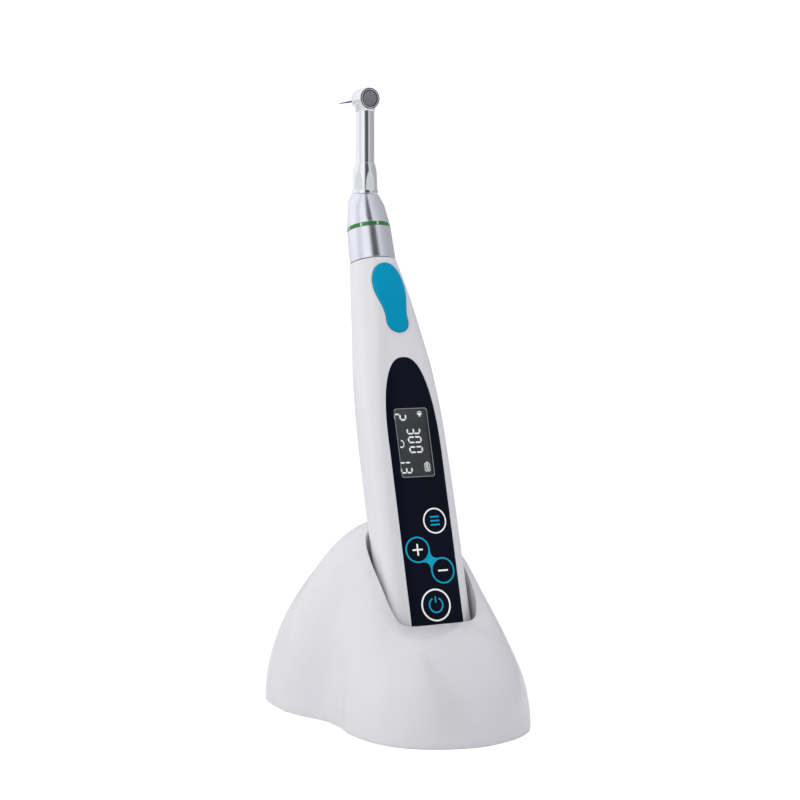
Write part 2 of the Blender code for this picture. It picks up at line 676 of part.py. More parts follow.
def make_motor(frame):
    can = [(1.5, -48), (5.8, -48), (MOTOR_RADIUS, -47.4), (MOTOR_RADIUS, -19), (3.2, -19), (3.2, -17.6),
           (1.5, -17.6)]
    turned("motor_can", can, "steel", frame, tube=True)
    pipe("motor_mount", 6.6, 3.5, -18.7, -17.0, "black_plastic", frame)
    nose = [(1.7, -8.0), (6.4, -8.0), (6.4, 0.1), (5.0, 0.1), (5.0, 9.2), (4.5, 9.8), (3.6, 9.8), (3.6, 1.0),
            (1.7, 1.0)]
    turned("motor_nose", nose, "steel", frame, tube=True, steps=FINE)
    seal = [(5.08, 0.35), (5.85, 0.35), (5.85, 0.85), (5.08, 0.85)]
    turned("nose_seal", seal, "rubber", frame, tube=True, steps=FINE)
    shaft = [(1.2, -50), (1.2, 2.4), (2.4, 2.4), (2.4, 3.6), (1.0, 3.6), (1.0, 4.2)]
    turned("motor_shaft", shaft, "steel", frame)


# ---------------------------------------------------------------- contra-angle

def make_sheath(contra, neck):
    latch = [(5.12, 1.1), (6.7, 1.1), (6.7, 10.6), (5.12, 10.6)]
    turned("latch_ring", latch, "brass", contra, tube=True, steps=FINE)
    lower = [(6.95, 0.15), (8.85, 0.15), (SHEATH_RADIUS, 0.3), (SHEATH_RADIUS - 0.05, 3), (8.5, 12.85),
             (7.35, 12.85), (7.3, 11.0), (6.95, 10.9)]
    turned("lower_sheath", lower, "satin_nickel", contra, tube=True, steps=FINE)
    band = [(7.35, RING_START), (8.42, RING_START), (8.35, RING_END), (7.35, RING_END)]
    turned("ratio_ring", band, "ring_green", contra, tube=True, steps=FINE)
    start, length = RING_END + 0.1, 17
    leaning = [(UPPER_RADIUS, start), (UPPER_RADIUS - UPPER_TAPER * length, start + length)]
    upper = turned("upper_sheath", leaning, "satin_nickel", contra, steps=FINE)
    drop = 25.3
    foot_radius = SHOULDER_RADIUS + SHOULDER_TAPER * drop
    upright = [(foot_radius, SHEATH_TOP_Z - drop), (SHOULDER_RADIUS, SHEATH_TOP_Z)]
    combine(upper, turned("shoulder_cone", upright, "satin_nickel", neck, steps=FINE), "INTERSECT")
    hollow = [(6.9, start - 1), (6.9, 17.6), (5.6, 19.0), (5.6, 22.4), (3.9, 22.9), (3.9, 27)]
    cut(upper, turned("gear_chamber", hollow, "satin_nickel", contra, steps=FINE))
    seat = [(3.85, BEND_Z - 1), (3.85, SHEATH_TOP_Z + 2)]
    cut(upper, turned("neck_seat", seat, "satin_nickel", neck, steps=FINE))


def make_nut_and_neck(nut):
    """Wrench nut, neck tube with the head barrel, and the trim ring round the push cap."""
    flat_distance, steps = 4.75, 24
    outer = [(200.5, 5.15), (201.9, 5.15), (202.2, 5.1), (204.5, 5.0), (208, 4.65), (211.5, 4.05),
             (NUT_TOP_Z, 3.8)]
    rings = []
    for height, radius in outer:
        ring = []
        for i in range(steps):
            angle = 2 * math.pi * i / steps
            around = (angle - math.radians(90) + math.radians(30)) % math.radians(60) - math.radians(30)
            reach = radius if height < 202 else min(radius, flat_distance / math.cos(around))
            ring.append((reach * math.cos(angle), reach * math.sin(angle), height))
        rings.append(ring)
    rings += [circle(3.7, NUT_TOP_Z, steps), circle(3.75, 200.5, steps)]
    ringed("lock_nut", rings, "chrome", nut, tube=True, sharp=25)
    tube = [(3.6, 200.5), (NECK_RADIUS, 201), (NECK_RADIUS, 232.4), (4.1, 234.8), (2.4, 236)]
    neck = turned("head_shell", tube, "chrome", nut, steps=FINE)
    barrel = [(4.05, -4.4), (HEAD_RADIUS, -4.1), (HEAD_RADIUS, 1.2), (4.15, 3.0), (3.75, 4.8), (3.2, 5.6),
              (2.6, 5.8)]
    combine(neck, turned("head_barrel", barrel, "chrome", HEAD_FRAME, steps=FINE), "UNION")
    cut(neck, turned("neck_bore", [(NECK_BORE, 198), (NECK_BORE, 237)], "chrome", nut, steps=20))
    bore = [(3.5, -6), (3.5, 4.2), (2.3, 4.2), (2.3, 7)]
    cut(neck, turned("head_bore", bore, "chrome", HEAD_FRAME, steps=FINE))
    ring = [(3.35, -4.95), (3.7, -5.1), (4.1, -4.95), (4.1, -4.6), (3.35, -4.6)]
    turned("head_ring", ring, "chrome", HEAD_FRAME, steps=FINE, tube=True)
    cap = [(2.95, -3.7), (3.1, -3.8), (3.1, -4.75), (2.9, -4.95)]
    turned("head_cap", cap, "cap_grey", HEAD_FRAME, steps=FINE)


def make_head_works():
    """Chuck spindle with its face gear, bearing and the file, all on the head's axis."""
    spindle_outline = [(1.3, -2.8), (1.9, -2.8), (1.9, 5.4), (1.3, 5.4)]
    spindle = turned("chuck_spindle", spindle_outline, "steel", HEAD_FRAME, tube=True)
    face_gear = crown_gear("head_gear", HEAD_GEAR_TEETH, 1.6, 3.1, -2.7, -1.95, -1.2, math.radians(90 + 11.25),
                           "steel", HEAD_FRAME)
    combine(spindle, face_gear, "UNION")
    pipe("head_bearing", 3.45, 1.98, 2.2, 4.0, "steel", HEAD_FRAME)
    lobes, turns, rows, steps = 3, 4.5, 30, 9
    tip = FILE_TIP_Y - (HEAD_FRONT_Y + HEAD_REAR_Y) / 2 + 0.4
    rings = [circle(1.15, -1.6, steps), circle(1.15, 5.7, steps)]
    start = 6.3
    for row in range(rows + 1):
        share = row / rows
        height = start + (tip - start) * share
        size = 0.52 * (1 - share) + 0.12 * share
        twist = 2 * math.pi * turns * share
        ring = []
        for i in range(steps):
            angle = 2 * math.pi * i / steps
            reach = size * (1 + 0.22 * math.cos(lobes * (angle - twist)))
            ring.append((reach * math.cos(angle), reach * math.sin(angle), height))
        rings.append(ring)
    ringed("endo_file", rings, "file_metal", HEAD_FRAME, sharp=60)


def make_gear_train(contra, neck):
    """Sun on the input shaft, planets on a carrier, a crown pair at the bend and a pinion in the head."""
    sun = GEAR_MODULE * SUN_TEETH / 2
    planet = GEAR_MODULE * PLANET_TEETH / 2
    ring = GEAR_MODULE * RING_TEETH / 2
    tip, root = 0.85 * GEAR_MODULE, 1.15 * GEAR_MODULE
    low, high = 13.9, 17.3
    shaft = turned("input_shaft", [(2.4, 4.6), (2.4, 5.6), (1.1, 5.6), (1.1, 13.5)], "steel", contra)
    sun_gear = prism("sun_gear", gear_outline(SUN_TEETH, sun - root, sun + tip), 13.0, high, "steel", contra)
    combine(shaft, sun_gear, "UNION")
    pipe("input_bearing", 6.85, 1.2, 11.0, 12.7, "brass", contra)
    inner = gear_outline(RING_TEETH, ring + root, ring - tip, math.pi / RING_TEETH)
    gear("ring_gear", inner, 6.6, low - 0.2, high, "steel", contra)
    disc = [(4.9, 17.7), (4.9, 18.6), (1.2, 18.6), (1.2, 24.6)]
    carrier = turned("planet_carrier", disc, "steel", contra, steps=18)
    centre = sun + planet
    pins = []
    for k in range(3):
        angle = 2 * math.pi * k / 3
        place = (centre * math.cos(angle), centre * math.sin(angle), 0)
        pins.append(turned(f"planet_pin_{k}", [(0.6, low), (0.6, 18.2)], "steel", contra, place, 10))
        outline = gear_outline(PLANET_TEETH, planet - root, planet + tip, angle)
        gear(f"planet_gear_{k + 1}", outline, 0.75, low, high, "brass", contra, place)
    combine(carrier, grouped("planet_pins", pins, "steel"), "UNION")
    bend = (BEND_Z - NOSE_Z) / math.cos(LEAN)
    reach = 0.74
    under = bend - reach
    lower = crown_gear("lower_crown", CROWN_TEETH, 0.9, 3.0, under - 1.0, under, under + 0.6, math.radians(90),
                       "steel", contra)
    combine(carrier, lower, "UNION")
    pipe("bend_bushing", 5.2, 1.35, 19.4, 22.0, "brass", contra)
    face = BEND_Z + reach
    neck_shaft = turned("neck_shaft", [(1.0, face + 0.4), (1.0, 234.0), (0.85, 234.2)], "steel", neck)
    upper = crown_gear("upper_crown", CROWN_TEETH, 0.8, 3.0, face + 1.0, face, face - 0.6,
                       math.radians(90 + 22.5), "steel", neck)
    combine(neck_shaft, upper, "UNION")
    pinion = prism("head_pinion", gear_outline(PINION_TEETH, 0.95, 1.62, math.radians(-90)), 233.6, 235.3,
                   "steel", neck)
    combine(neck_shaft, pinion, "UNION")
    pipe("neck_bushing", NECK_BORE - 0.06, 1.1, 226, 229.5, "brass", neck)


clear_scene()
REAR_AXIS = frame_empty("rear_axis", (0, 0, 8.5), math.radians(-90))
HEAD_FRAME = frame_empty("head_frame", (0, (HEAD_FRONT_Y + HEAD_REAR_Y) / 2 - 0.4, HEAD_Z), math.radians(-90))
handpiece_frame = frame_empty("handpiece_frame", (0, NOSE_Y, NOSE_Z), -LEAN)
contra_frame = frame_empty("contra_frame", (0, NOSE_Y, NOSE_Z), -LEAN)
neck_frame = frame_empty("neck_frame", (0, NECK_Y, 0))

make_dome()
make_base_underside()
make_cradle_and_charging(handpiece_frame)
make_inlet()
make_shells(handpiece_frame)
make_face(handpiece_frame)
make_trigger(handpiece_frame)
make_electronics(handpiece_frame)
make_end_cap(handpiece_frame)
make_motor(handpiece_frame)
make_sheath(contra_frame, neck_frame)
make_nut_and_neck(neck_frame)
make_head_works()
make_gear_train(contra_frame, neck_frame)
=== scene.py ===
"""Looks of an endodontic motor standing in its charging base.

Fine surfaces and procedural materials are put on its frame.

Outlines are in millimetres, each in its own local frame, and MM turns them into metres.
The front is -Y. In the handpiece's frame Z runs up the handle, so a distance below the nose is negative.
"""

import json
import math

import bmesh
import bpy
from mathutils import Matrix, Vector


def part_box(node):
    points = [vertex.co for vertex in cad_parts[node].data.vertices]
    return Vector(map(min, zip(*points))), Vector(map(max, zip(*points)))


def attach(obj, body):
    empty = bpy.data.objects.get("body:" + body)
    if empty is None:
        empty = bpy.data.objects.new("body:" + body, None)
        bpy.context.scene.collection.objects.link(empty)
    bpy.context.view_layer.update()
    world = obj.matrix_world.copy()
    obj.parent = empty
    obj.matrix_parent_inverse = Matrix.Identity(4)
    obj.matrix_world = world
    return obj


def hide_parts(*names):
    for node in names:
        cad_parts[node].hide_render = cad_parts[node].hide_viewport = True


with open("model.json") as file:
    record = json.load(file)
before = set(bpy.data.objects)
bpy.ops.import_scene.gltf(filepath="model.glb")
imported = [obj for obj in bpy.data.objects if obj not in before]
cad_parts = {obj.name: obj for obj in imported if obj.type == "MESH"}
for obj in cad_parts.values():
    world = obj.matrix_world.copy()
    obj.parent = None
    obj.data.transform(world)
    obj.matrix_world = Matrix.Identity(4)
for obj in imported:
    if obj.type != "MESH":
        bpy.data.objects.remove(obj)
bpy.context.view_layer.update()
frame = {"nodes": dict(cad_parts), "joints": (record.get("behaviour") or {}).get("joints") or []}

MM = 0.001
STEPS = 96

# ---------------------------------------------------------------- places, from the frame
JOINTS = {joint["name"]: joint for joint in frame["joints"]}
HANDLE_AXIS = Vector(JOINTS["contra_turn"]["axis"])
LEAN = math.atan2(HANDLE_AXIS.y, HANDLE_AXIS.z)
NOSE = Vector(JOINTS["contra_turn"]["pos_m"])
HANDPIECE = Matrix.Translation(NOSE) @ Matrix.Rotation(-LEAN, 4, "X")
NECK_AT = Vector(JOINTS["neck_spin"]["pos_m"])
NECK = Matrix.Translation((0, NECK_AT.y, 0))
# Turns Z to +Y, for pieces about a level axis that runs to the rear.
TO_REAR = Matrix.Rotation(math.radians(-90), 4, "X")
HEAD = Matrix.Translation(Vector(JOINTS["chuck_spin"]["pos_m"])) @ TO_REAR
WORLD = Matrix.Identity(4)


def middle(node):
    """Middle of a CAD node's box."""
    low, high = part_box(node)
    return (low + high) / 2


# ---------------------------------------------------------------- driving dimensions, in millimetres
BASE_HALF_LENGTH = 61.5
RIM_Z = 0.8
# Angle along the base from the front toe, half width of the foot, height of the top line, squareness across.
BASE_STATIONS = [
    (0, 0, 0, 2.15), (15, 11, 12, 2.6), (22, 17, 18.2, 3.0), (38, 27.5, 30, 3.2), (55, 33.5, 42.2, 2.8),
    (68, 35, 52.5, 3.0), (78, 34, 63, 3.1), (85.5, 34.4, 70, 2.9), (92, 36.6, 72, 2.7),
    (99.5, 40.3, 73.3, 2.25), (109, 43.0, 73, 1.9), (122, 43.1, 65.5, 1.75), (140, 39, 49, 1.9),
    (158, 26, 28.5, 2.15), (180, 0, 0, 2.15),
]
# Y and height of the slot's mouth, which slopes down from the rear to a nearly straight front edge.
MOUTH_LINE = [
    (-30, 39.0), (-28.4, 39.8), (-24.6, 45.3), (-19.8, 51.4), (-12.5, 58.0), (-5, 64.0), (2, 68.3),
    (8, 71.0), (14, 72.5),
]
# Share of the way to the mouth where the lift to its edge starts, and how much it eases off, from 1 to 3.
MOUTH_BLEND, MOUTH_EASE = 0.34, 1.4
BASE_HEIGHT_POWER = 1.95
RIM_ROUND = 1.4
# The band round the mouth is wider at its front, where its crease fades out.
LIP_BAND, FRONT_BAND_EXTRA = 4.8, 7
LIP_CREASE, FRONT_CREASE = 1.5, 0.1
LIP_EDGE = 0.5
SLEEVE_WALL = 2.2
SLEEVE_END = -151.0
SLOT_HALF_WIDTH, SLOT_FRONT, SLOT_REAR, SLOT_WIDEST = 18.6, 18.7, 11.0, 8.5
SLOT_FRONT_POWER, SLOT_REAR_POWER = 5.5, 2.2

# Distance below the nose, half width, front and rear depth, and depth of the widest line.
HANDLE_STATIONS = [
    (0, 9.1, 9.1, 9.1, 0), (14, 11.0, 12.6, 9.3, 2.0), (30, 12.9, 15.0, 9.3, 4.0),
    (48, 15.0, 16.35, 9.1, 5.6), (75, 16.4, 16.6, 8.9, 7.2), (105, 16.7, 16.6, 8.7, 8.4),
    (160, 16.7, 16.6, 8.5, 10.0),
]
HANDLE_END = 159.5
HANDLE_WALL = 2.2
SHELL_START, SHELL_END = 0.2, 155.8
PARTING_ANGLE = math.radians(32)
SQUARE_AFTER = 60.0
FRONT_POWER, REAR_POWER = 3.3, 2.6
PANEL_BACK = 14.9
PANEL_TOP, PANEL_BOTTOM = -42.2, -150.0
PANEL_HALF_WIDTH, PANEL_SHIFT = 10.7, 0.72
PANEL_ARCH, PANEL_ARCH_POWER = 36.5, 2.4
DISPLAY_BOX = (-7.0, 7.25, -88.8, -61.9)
KEYS = {
    "program_key": (4.5, -105.6, 5.1), "plus_key": (-4.15, -116.1, 5.0),
    "minus_key": (5.35, -124.5, 5.0), "power_key": (0.65, -137.2, 6.3),
}
KEY_BACK = 15.4
TRIGGER_SHIFT = 0.3
TRIGGER_LIFT = 0.56
LCD_FACE = 15.8
PRINT_LIFT, PRINT_THICK = 0.07, 0.05
PIN_PLACES = {"left": (-6, -4), "right": (6, -4)}
HEAD_RADIUS = 4.3

# Light: the side that it comes from, its levels away from and towards that side, and its tint.
KEY_SIDE = (-0.8, 0.05, 0.6)
SURROUND_LEVELS = (0.56, 0.98)
SURROUND_TINT = (0.97, 0.97, 1.0, 1)
# Dark strips of the surround: azimuth from the front, half width, soft edge in degrees, share of light left.
DARK_STRIPS = [(-6, 12, 20, 0.11), (-89, 4, 20, 0.76), (95, 35, 45, 0.74)]
# Soft lights: name, place, size, power and colour. All of them point at one place on the object.
SOFT_LIGHTS = [
    ("key", (-0.9, -0.45, 0.75), (0.6, 0.6), 2.15, (1, 1, 1)),
    ("top", (-0.1, 0.1, 1.2), (0.7, 0.7), 1.3, (1, 1, 1)),
    ("fill", (0.9, -0.35, 0.3), (0.7, 0.9), 2.3, (0.88, 0.85, 1.0)),
]
LIGHTS_AIM = Vector((0, 0, 0.1))
CAMERA_PLACE = (-0.3170, -0.6450, 0.1777)
CAMERA_TILT, CAMERA_TURN = math.radians(85.5), math.radians(-26)


# ---------------------------------------------------------------- curves and sections

def curve_through(stations, column, at):
    """A smooth curve through one column of a table whose first column is the position."""
    xs = [row[0] for row in stations]
    ys = [row[column] for row in stations]
    at = min(max(at, xs[0]), xs[-1])
    k = max(i for i in range(len(xs) - 1) if xs[i] <= at)

    def slope(i):
        if i in (0, len(xs) - 1):
            j = min(i, len(xs) - 2)
            return (ys[j + 1] - ys[j]) / (xs[j + 1] - xs[j])
        before = (ys[i] - ys[i - 1]) / (xs[i] - xs[i - 1])
        after = (ys[i + 1] - ys[i]) / (xs[i + 1] - xs[i])
        if before * after <= 0:
            return 0.0
        return 2 * before * after / (before + after)

    step = xs[k + 1] - xs[k]
    t = (at - xs[k]) / step
    return (
        (2 * t**3 - 3 * t**2 + 1) * ys[k]
        + (t**3 - 2 * t**2 + t) * step * slope(k)
        + (3 * t**2 - 2 * t**3) * ys[k + 1]
        + (t**3 - t**2) * step * slope(k + 1)
    )


def signed_power(value, power):
    return math.copysign(abs(value) ** power, value)


def base_foot(angle):
    """Point of the base's foot outline. Angle 0 is +X and -90 degrees is the front."""
    along = math.degrees(math.asin(math.sin(angle))) + 90
    side = 1 if math.cos(angle) >= 0 else -1
    y = -BASE_HALF_LENGTH * math.cos(math.radians(along))
    return Vector((side * curve_through(BASE_STATIONS, 1, along), y))


def base_height(x, y):
    """Height of the base's outer form over a point inside its foot, without the slot's mouth."""
    along = math.degrees(math.acos(max(-1.0, min(1.0, -y / BASE_HALF_LENGTH))))
    width = max(curve_through(BASE_STATIONS, 1, along), 1e-6)
    share = min(1.0, abs(x) / width)
    top, power = curve_through(BASE_STATIONS, 2, along), curve_through(BASE_STATIONS, 3, along)
    return top * (1 - share**power) ** (1 / BASE_HEIGHT_POWER)


def slot_section(angle, grow=0.0):
    """Slot outline in the handpiece's frame."""
    is_front = math.sin(angle) < 0
    power = SLOT_FRONT_POWER if is_front else SLOT_REAR_POWER
    depth = SLOT_FRONT + grow - SLOT_WIDEST if is_front else SLOT_REAR + grow + SLOT_WIDEST
    x = (SLOT_HALF_WIDTH + grow) * signed_power(math.cos(angle), 2 / power)
    return x, depth * signed_power(math.sin(angle), 2 / power) - SLOT_WIDEST


def from_handpiece(x, y, z):
    """World place, in millimetres, of a point in the handpiece's frame."""
    return HANDPIECE @ (Vector((x, y, z)) * MM) / MM


def lip_height(angle):
    """Distance along the handle's axis at which the slot's wall meets its mouth."""
    x, y = slot_section(angle)
    low, high = SLEEVE_END, -40.0
    for _ in range(30):
        half = (low + high) / 2
        point = from_handpiece(x, y, half)
        inside = point.z < curve_through(MOUTH_LINE, 1, point.y)
        low, high = (half, high) if inside else (low, half)
    return low


def handle_shape(down):
    """Half width, front depth, rear depth, depth of the widest line and the two powers of a section."""
    sizes = [curve_through(HANDLE_STATIONS, column, down) for column in (1, 2, 3, 4)]
    squareness = min(1.0, down / SQUARE_AFTER)
    return (*sizes, 2 + squareness * (FRONT_POWER - 2), 2 + squareness * (REAR_POWER - 2))


def handle_section(down, angle, inset=0.0):
    """Point of the housing's section. Angle -90 degrees is the front, where the panel is."""
    half_width, front, rear, widest, front_power, rear_power = handle_shape(down)
    is_front = math.sin(angle) < 0
    power = front_power if is_front else rear_power
    depth = front - inset - widest if is_front else rear - inset + widest
    x = (half_width - inset) * signed_power(math.cos(angle), 2 / power)
    return x, depth * signed_power(math.sin(angle), 2 / power) - widest


def face_y(x, z, lift=0.0):
    """Y of the housing's front surface at a place on it, moved out by lift."""
    half_width, front, _, widest, power, _ = handle_shape(-z)
    share = min(0.999, abs(x) / half_width)
    return -(widest + (front - widest) * (1 - share**power) ** (1 / power)) - lift


# ---------------------------------------------------------------- building blocks

def put(name, bm, look, body, place=WORLD, stands_for=(), sharp=38):
    """Turns a bmesh in millimetres into a piece that rides on a body, or into a helper if it has no look."""
    bmesh.ops.remove_doubles(bm, verts=bm.verts, dist=1e-5)
    bmesh.ops.recalc_face_normals(bm, faces=bm.faces)
    bmesh.ops.scale(bm, vec=(MM, MM, MM), verts=bm.verts)
    mesh = bpy.data.meshes.new(name)
    bm.to_mesh(mesh)
    bm.free()
    mesh.shade_smooth()
    mesh.set_sharp_from_angle(angle=math.radians(sharp))
    obj = bpy.data.objects.new(name, mesh)
    bpy.context.scene.collection.objects.link(obj)
    obj.matrix_world = place
    if look is None:
        return obj
    look = LOOKS[look]
    mesh.materials.append(look)
    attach(obj, body)
    if stands_for:
        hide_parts(*stands_for)
    return obj


def skin(bm, rings, closed=False):
    """Faces through rings of points. Closed joins the last ring to the first; otherwise the ends get caps."""
    loops = [[bm.verts.new(point) for point in ring] for ring in rings]
    pairs = list(zip(loops, loops[1:]))
    if closed:
        pairs.append((loops[-1], loops[0]))
    else:
        bm.faces.new(loops[0])
        bm.faces.new(loops[-1])
    for low, high in pairs:
        for i in range(len(low)):
            j = (i + 1) % len(low)
            bm.faces.new((low[i], low[j], high[j], high[i]))


def ringed(name, rings, look, body, place=WORLD, stands_for=(), closed=False, sharp=38):
    bm = bmesh.new()
    skin(bm, rings, closed)
    return put(name, bm, look, body, place, stands_for, sharp)


def helper(rings, place):
    """A solid that only cuts or joins others."""
    bm = bmesh.new()
    skin(bm, rings)
    return put("helper", bm, None, None, place)


def softened(profile, closed, radius):
    """The outline with an arc in place of each clear corner."""
    points = [Vector(p) for p in profile]
    count = len(points)
    made = []
    for i, point in enumerate(points):
        if not closed and i in (0, count - 1):
            made.append(point)
            continue
        before, after = points[i - 1] - point, points[(i + 1) % count] - point
        turn = math.pi - before.angle(after)
        reach = min(radius, 0.4 * before.length, 0.4 * after.length)
        if turn < math.radians(20) or reach < 0.01:
            made.append(point)
            continue
        start, end = point + before.normalized() * reach, point + after.normalized() * reach
        for k in range(5):
            t = k / 4
            made.append(start.lerp(point, t).lerp(point.lerp(end, t), t))
    return made


def turns(steps):
    """Angles of a full turn."""
    return [2 * math.pi * i / steps for i in range(steps)]


def circle(radius, height, steps=STEPS):
    return [(radius * math.cos(a), radius * math.sin(a), height) for a in turns(steps)]


def turned(name, outline, look, body, place=WORLD, stands_for=(), closed=False, soft=0.15, steps=STEPS):
    """A turned piece from (radius, height) pairs about its frame's Z, with softened corners."""
    rings = [circle(r, z, steps) for r, z in softened(outline, closed, soft)]
    return ringed(name, rings, look, body, place, stands_for, closed)


def helper_turned(outline, place, steps):
    return helper([circle(r, z, steps) for r, z in outline], place)


def pin_holes(radius, low, high, steps):
    """Cutters for a hole at each charging pin."""
    discs = [[(x + px, y + py) for px, py, _ in circle(radius, 0, steps)] for x, y in PIN_PLACES.values()]
    return [helper([[(px, py, z) for px, py in disc] for z in (low, high)], HANDPIECE) for disc in discs]


def carve(obj, operation, *others):
    """Cuts, joins or meets an object with helper objects, and keeps only the result."""
    for other in others:
        modifier = obj.modifiers.new("carve", "BOOLEAN")
        modifier.operation = operation
        modifier.object = other
        modifier.solver = "EXACT"
    bpy.context.view_layer.update()
    result = bpy.data.meshes.new_from_object(obj.evaluated_get(bpy.context.evaluated_depsgraph_get()))
    obj.modifiers.clear()
    slots = list(obj.data.materials)
    obj.data = result
    obj.data.materials.clear()
    for slot in slots:
        obj.data.materials.append(slot)
    obj.data.shade_smooth()
    obj.data.set_sharp_from_angle(angle=math.radians(38))
    for other in others:
        bpy.data.objects.remove(other)
    return obj


def front_cutter(outline, near, far):
    """A helper solid in the handpiece's frame: an XZ outline pushed along -Y from near to far."""
    return helper([[(x, -depth, z) for x, z in outline] for depth in (near, far)], HANDPIECE)


def round_outline(x, z, radius, steps=64):
    return [(x + px, z + pz) for px, pz, _ in circle(radius, 0, steps)]


def box_outline(x0, x1, z0, z1, radius, steps=6):
    """A rectangle with round corners."""
    outline = []
    for cx, cz, start in ((x1 - radius, z1 - radius, 0), (x0 + radius, z1 - radius, 90),
                          (x0 + radius, z0 + radius, 180), (x1 - radius, z0 + radius, 270)):
        for i in range(steps + 1):
            angle = math.radians(start + 90 * i / steps)
            outline.append((cx + radius * math.cos(angle), cz + radius * math.sin(angle)))
    return outline


# ---------------------------------------------------------------- materials

def math_node(tree, operation, *values):
    """Result of a sum on numbers and other nodes' outputs."""
    node = tree.nodes.new("ShaderNodeMath")
    node.operation = operation
    for socket, value in zip(node.inputs, values):
        if isinstance(value, float):
            socket.default_value = value
        else:
            tree.links.new(value, socket)
    return node.outputs["Value"]


def map_range(tree, value, low, high, start, end, curve="LINEAR"):
    """Maps a value between start and end to one between low and high."""
    node = tree.nodes.new("ShaderNodeMapRange")
    node.interpolation_type = curve
    for key, number in (("From Min", start), ("From Max", end), ("To Min", low), ("To Max", high)):
        node.inputs[key].default_value = number
    tree.links.new(value, node.inputs["Value"])
    return node.outputs["Result"]


def axes_of(tree, place):
    """The three coordinates of a place."""
    split = tree.nodes.new("ShaderNodeSeparateXYZ")
    tree.links.new(place, split.inputs["Vector"])
    return split.outputs


class Look:
    """A Principled material with object coordinates and a few procedural helpers."""

    def __init__(self, name, slot):
        self.material = bpy.data.materials.new(name)
        self.material.use_nodes = True
        self.material["slot"] = slot
        self.tree = self.material.node_tree
        self.nodes = self.tree.nodes
        self.links = self.tree.links
        self.shader = self.nodes["Principled BSDF"]
        self.place = self.nodes.new("ShaderNodeTexCoord").outputs["Object"]

    def noise(self, scale, detail, stretch=(1, 1, 1)):
        mapping = self.nodes.new("ShaderNodeMapping")
        mapping.inputs["Scale"].default_value = stretch
        self.links.new(self.place, mapping.inputs["Vector"])
        texture = self.nodes.new("ShaderNodeTexNoise")
        texture.inputs["Scale"].default_value = scale
        texture.inputs["Detail"].default_value = detail
        self.links.new(mapping.outputs["Vector"], texture.inputs["Vector"])
        return texture.outputs["Fac"]

    def span(self, value, low, high, start=0.3, end=0.7):
        """Maps a value to low and high. A noise value mostly lies between the given start and end."""
        return map_range(self.tree, value, low, high, start, end)

    def blend(self, factor, first, second):
        """A colour between two, each a colour or another node's output."""
        node = self.nodes.new("ShaderNodeMix")
        node.data_type = "RGBA"
        for value, key in ((factor, 0), (first, 6), (second, 7)):
            if isinstance(value, (tuple, float, int)):
                node.inputs[key].default_value = (*value, 1) if isinstance(value, tuple) else value
            else:
                self.links.new(value, node.inputs[key])
        return node.outputs[2]

    def bump(self, height, strength, distance):
        node = self.nodes.new("ShaderNodeBump")
        node.inputs["Strength"].default_value = strength
        node.inputs["Distance"].default_value = distance
        self.links.new(height, node.inputs["Height"])
        return node.outputs["Normal"]

    def set(self, **values):
        """Sets shader inputs; underscores stand for spaces, and a node output is linked."""
        for key, value in values.items():
            socket = self.shader.inputs[key.replace("_", " ")]
            if isinstance(value, tuple):
                socket.default_value = (*value, 1) if len(value) == 3 and socket.type == "RGBA" else value
            elif isinstance(value, (float, int)):
                socket.default_value = value
            else:
                self.links.new(value, socket)


TURNING_STRETCH = (1, 1, 60)


def shade(color, factor):
    return tuple(min(1.0, c * factor) for c in color)


def plastic(name, slot, color, roughness, mottle=0.02, grain=1400, bump=0.04, coat=0.0, **more):
    """Moulded plastic: faint large mottling, uneven gloss and a fine grain."""
    look = Look(name, slot)
    cloud = look.noise(38, 4)
    dark, pale = shade(color, 1 - mottle), shade(color, 1 + mottle)
    look.set(Base_Color=look.blend(look.span(cloud, 0, 1), dark, pale))
    look.set(Roughness=look.span(look.noise(120, 5), roughness * 0.85, roughness * 1.18))
    look.set(Normal=look.bump(look.noise(grain, 3), bump, 0.00003))
    look.set(Coat_Weight=coat, Coat_Roughness=0.06, **more)
    return look.material


def metal(name, slot, color, roughness, lines, bump, smudge=0.25, **more):
    """Metal with turning lines round its frame's Z, a slightly uneven polish and a faint tint."""
    look = Look(name, slot)
    cloud = look.noise(90, 4)
    look.set(Base_Color=look.blend(look.span(cloud, 0, 1), shade(color, 0.96), shade(color, 1.03)))
    marks = look.noise(160, 4, TURNING_STRETCH)
    polish = look.noise(230, 5)
    low, high = roughness * (1 - smudge), roughness * (1 + smudge)
    uneven = math_node(look.tree, "ADD", look.span(polish, low, high), look.span(marks, -lines, lines))
    look.set(Roughness=uneven, Metallic=1.0)
    look.set(Normal=look.bump(marks, bump, 0.00002), **more)
    return look.material


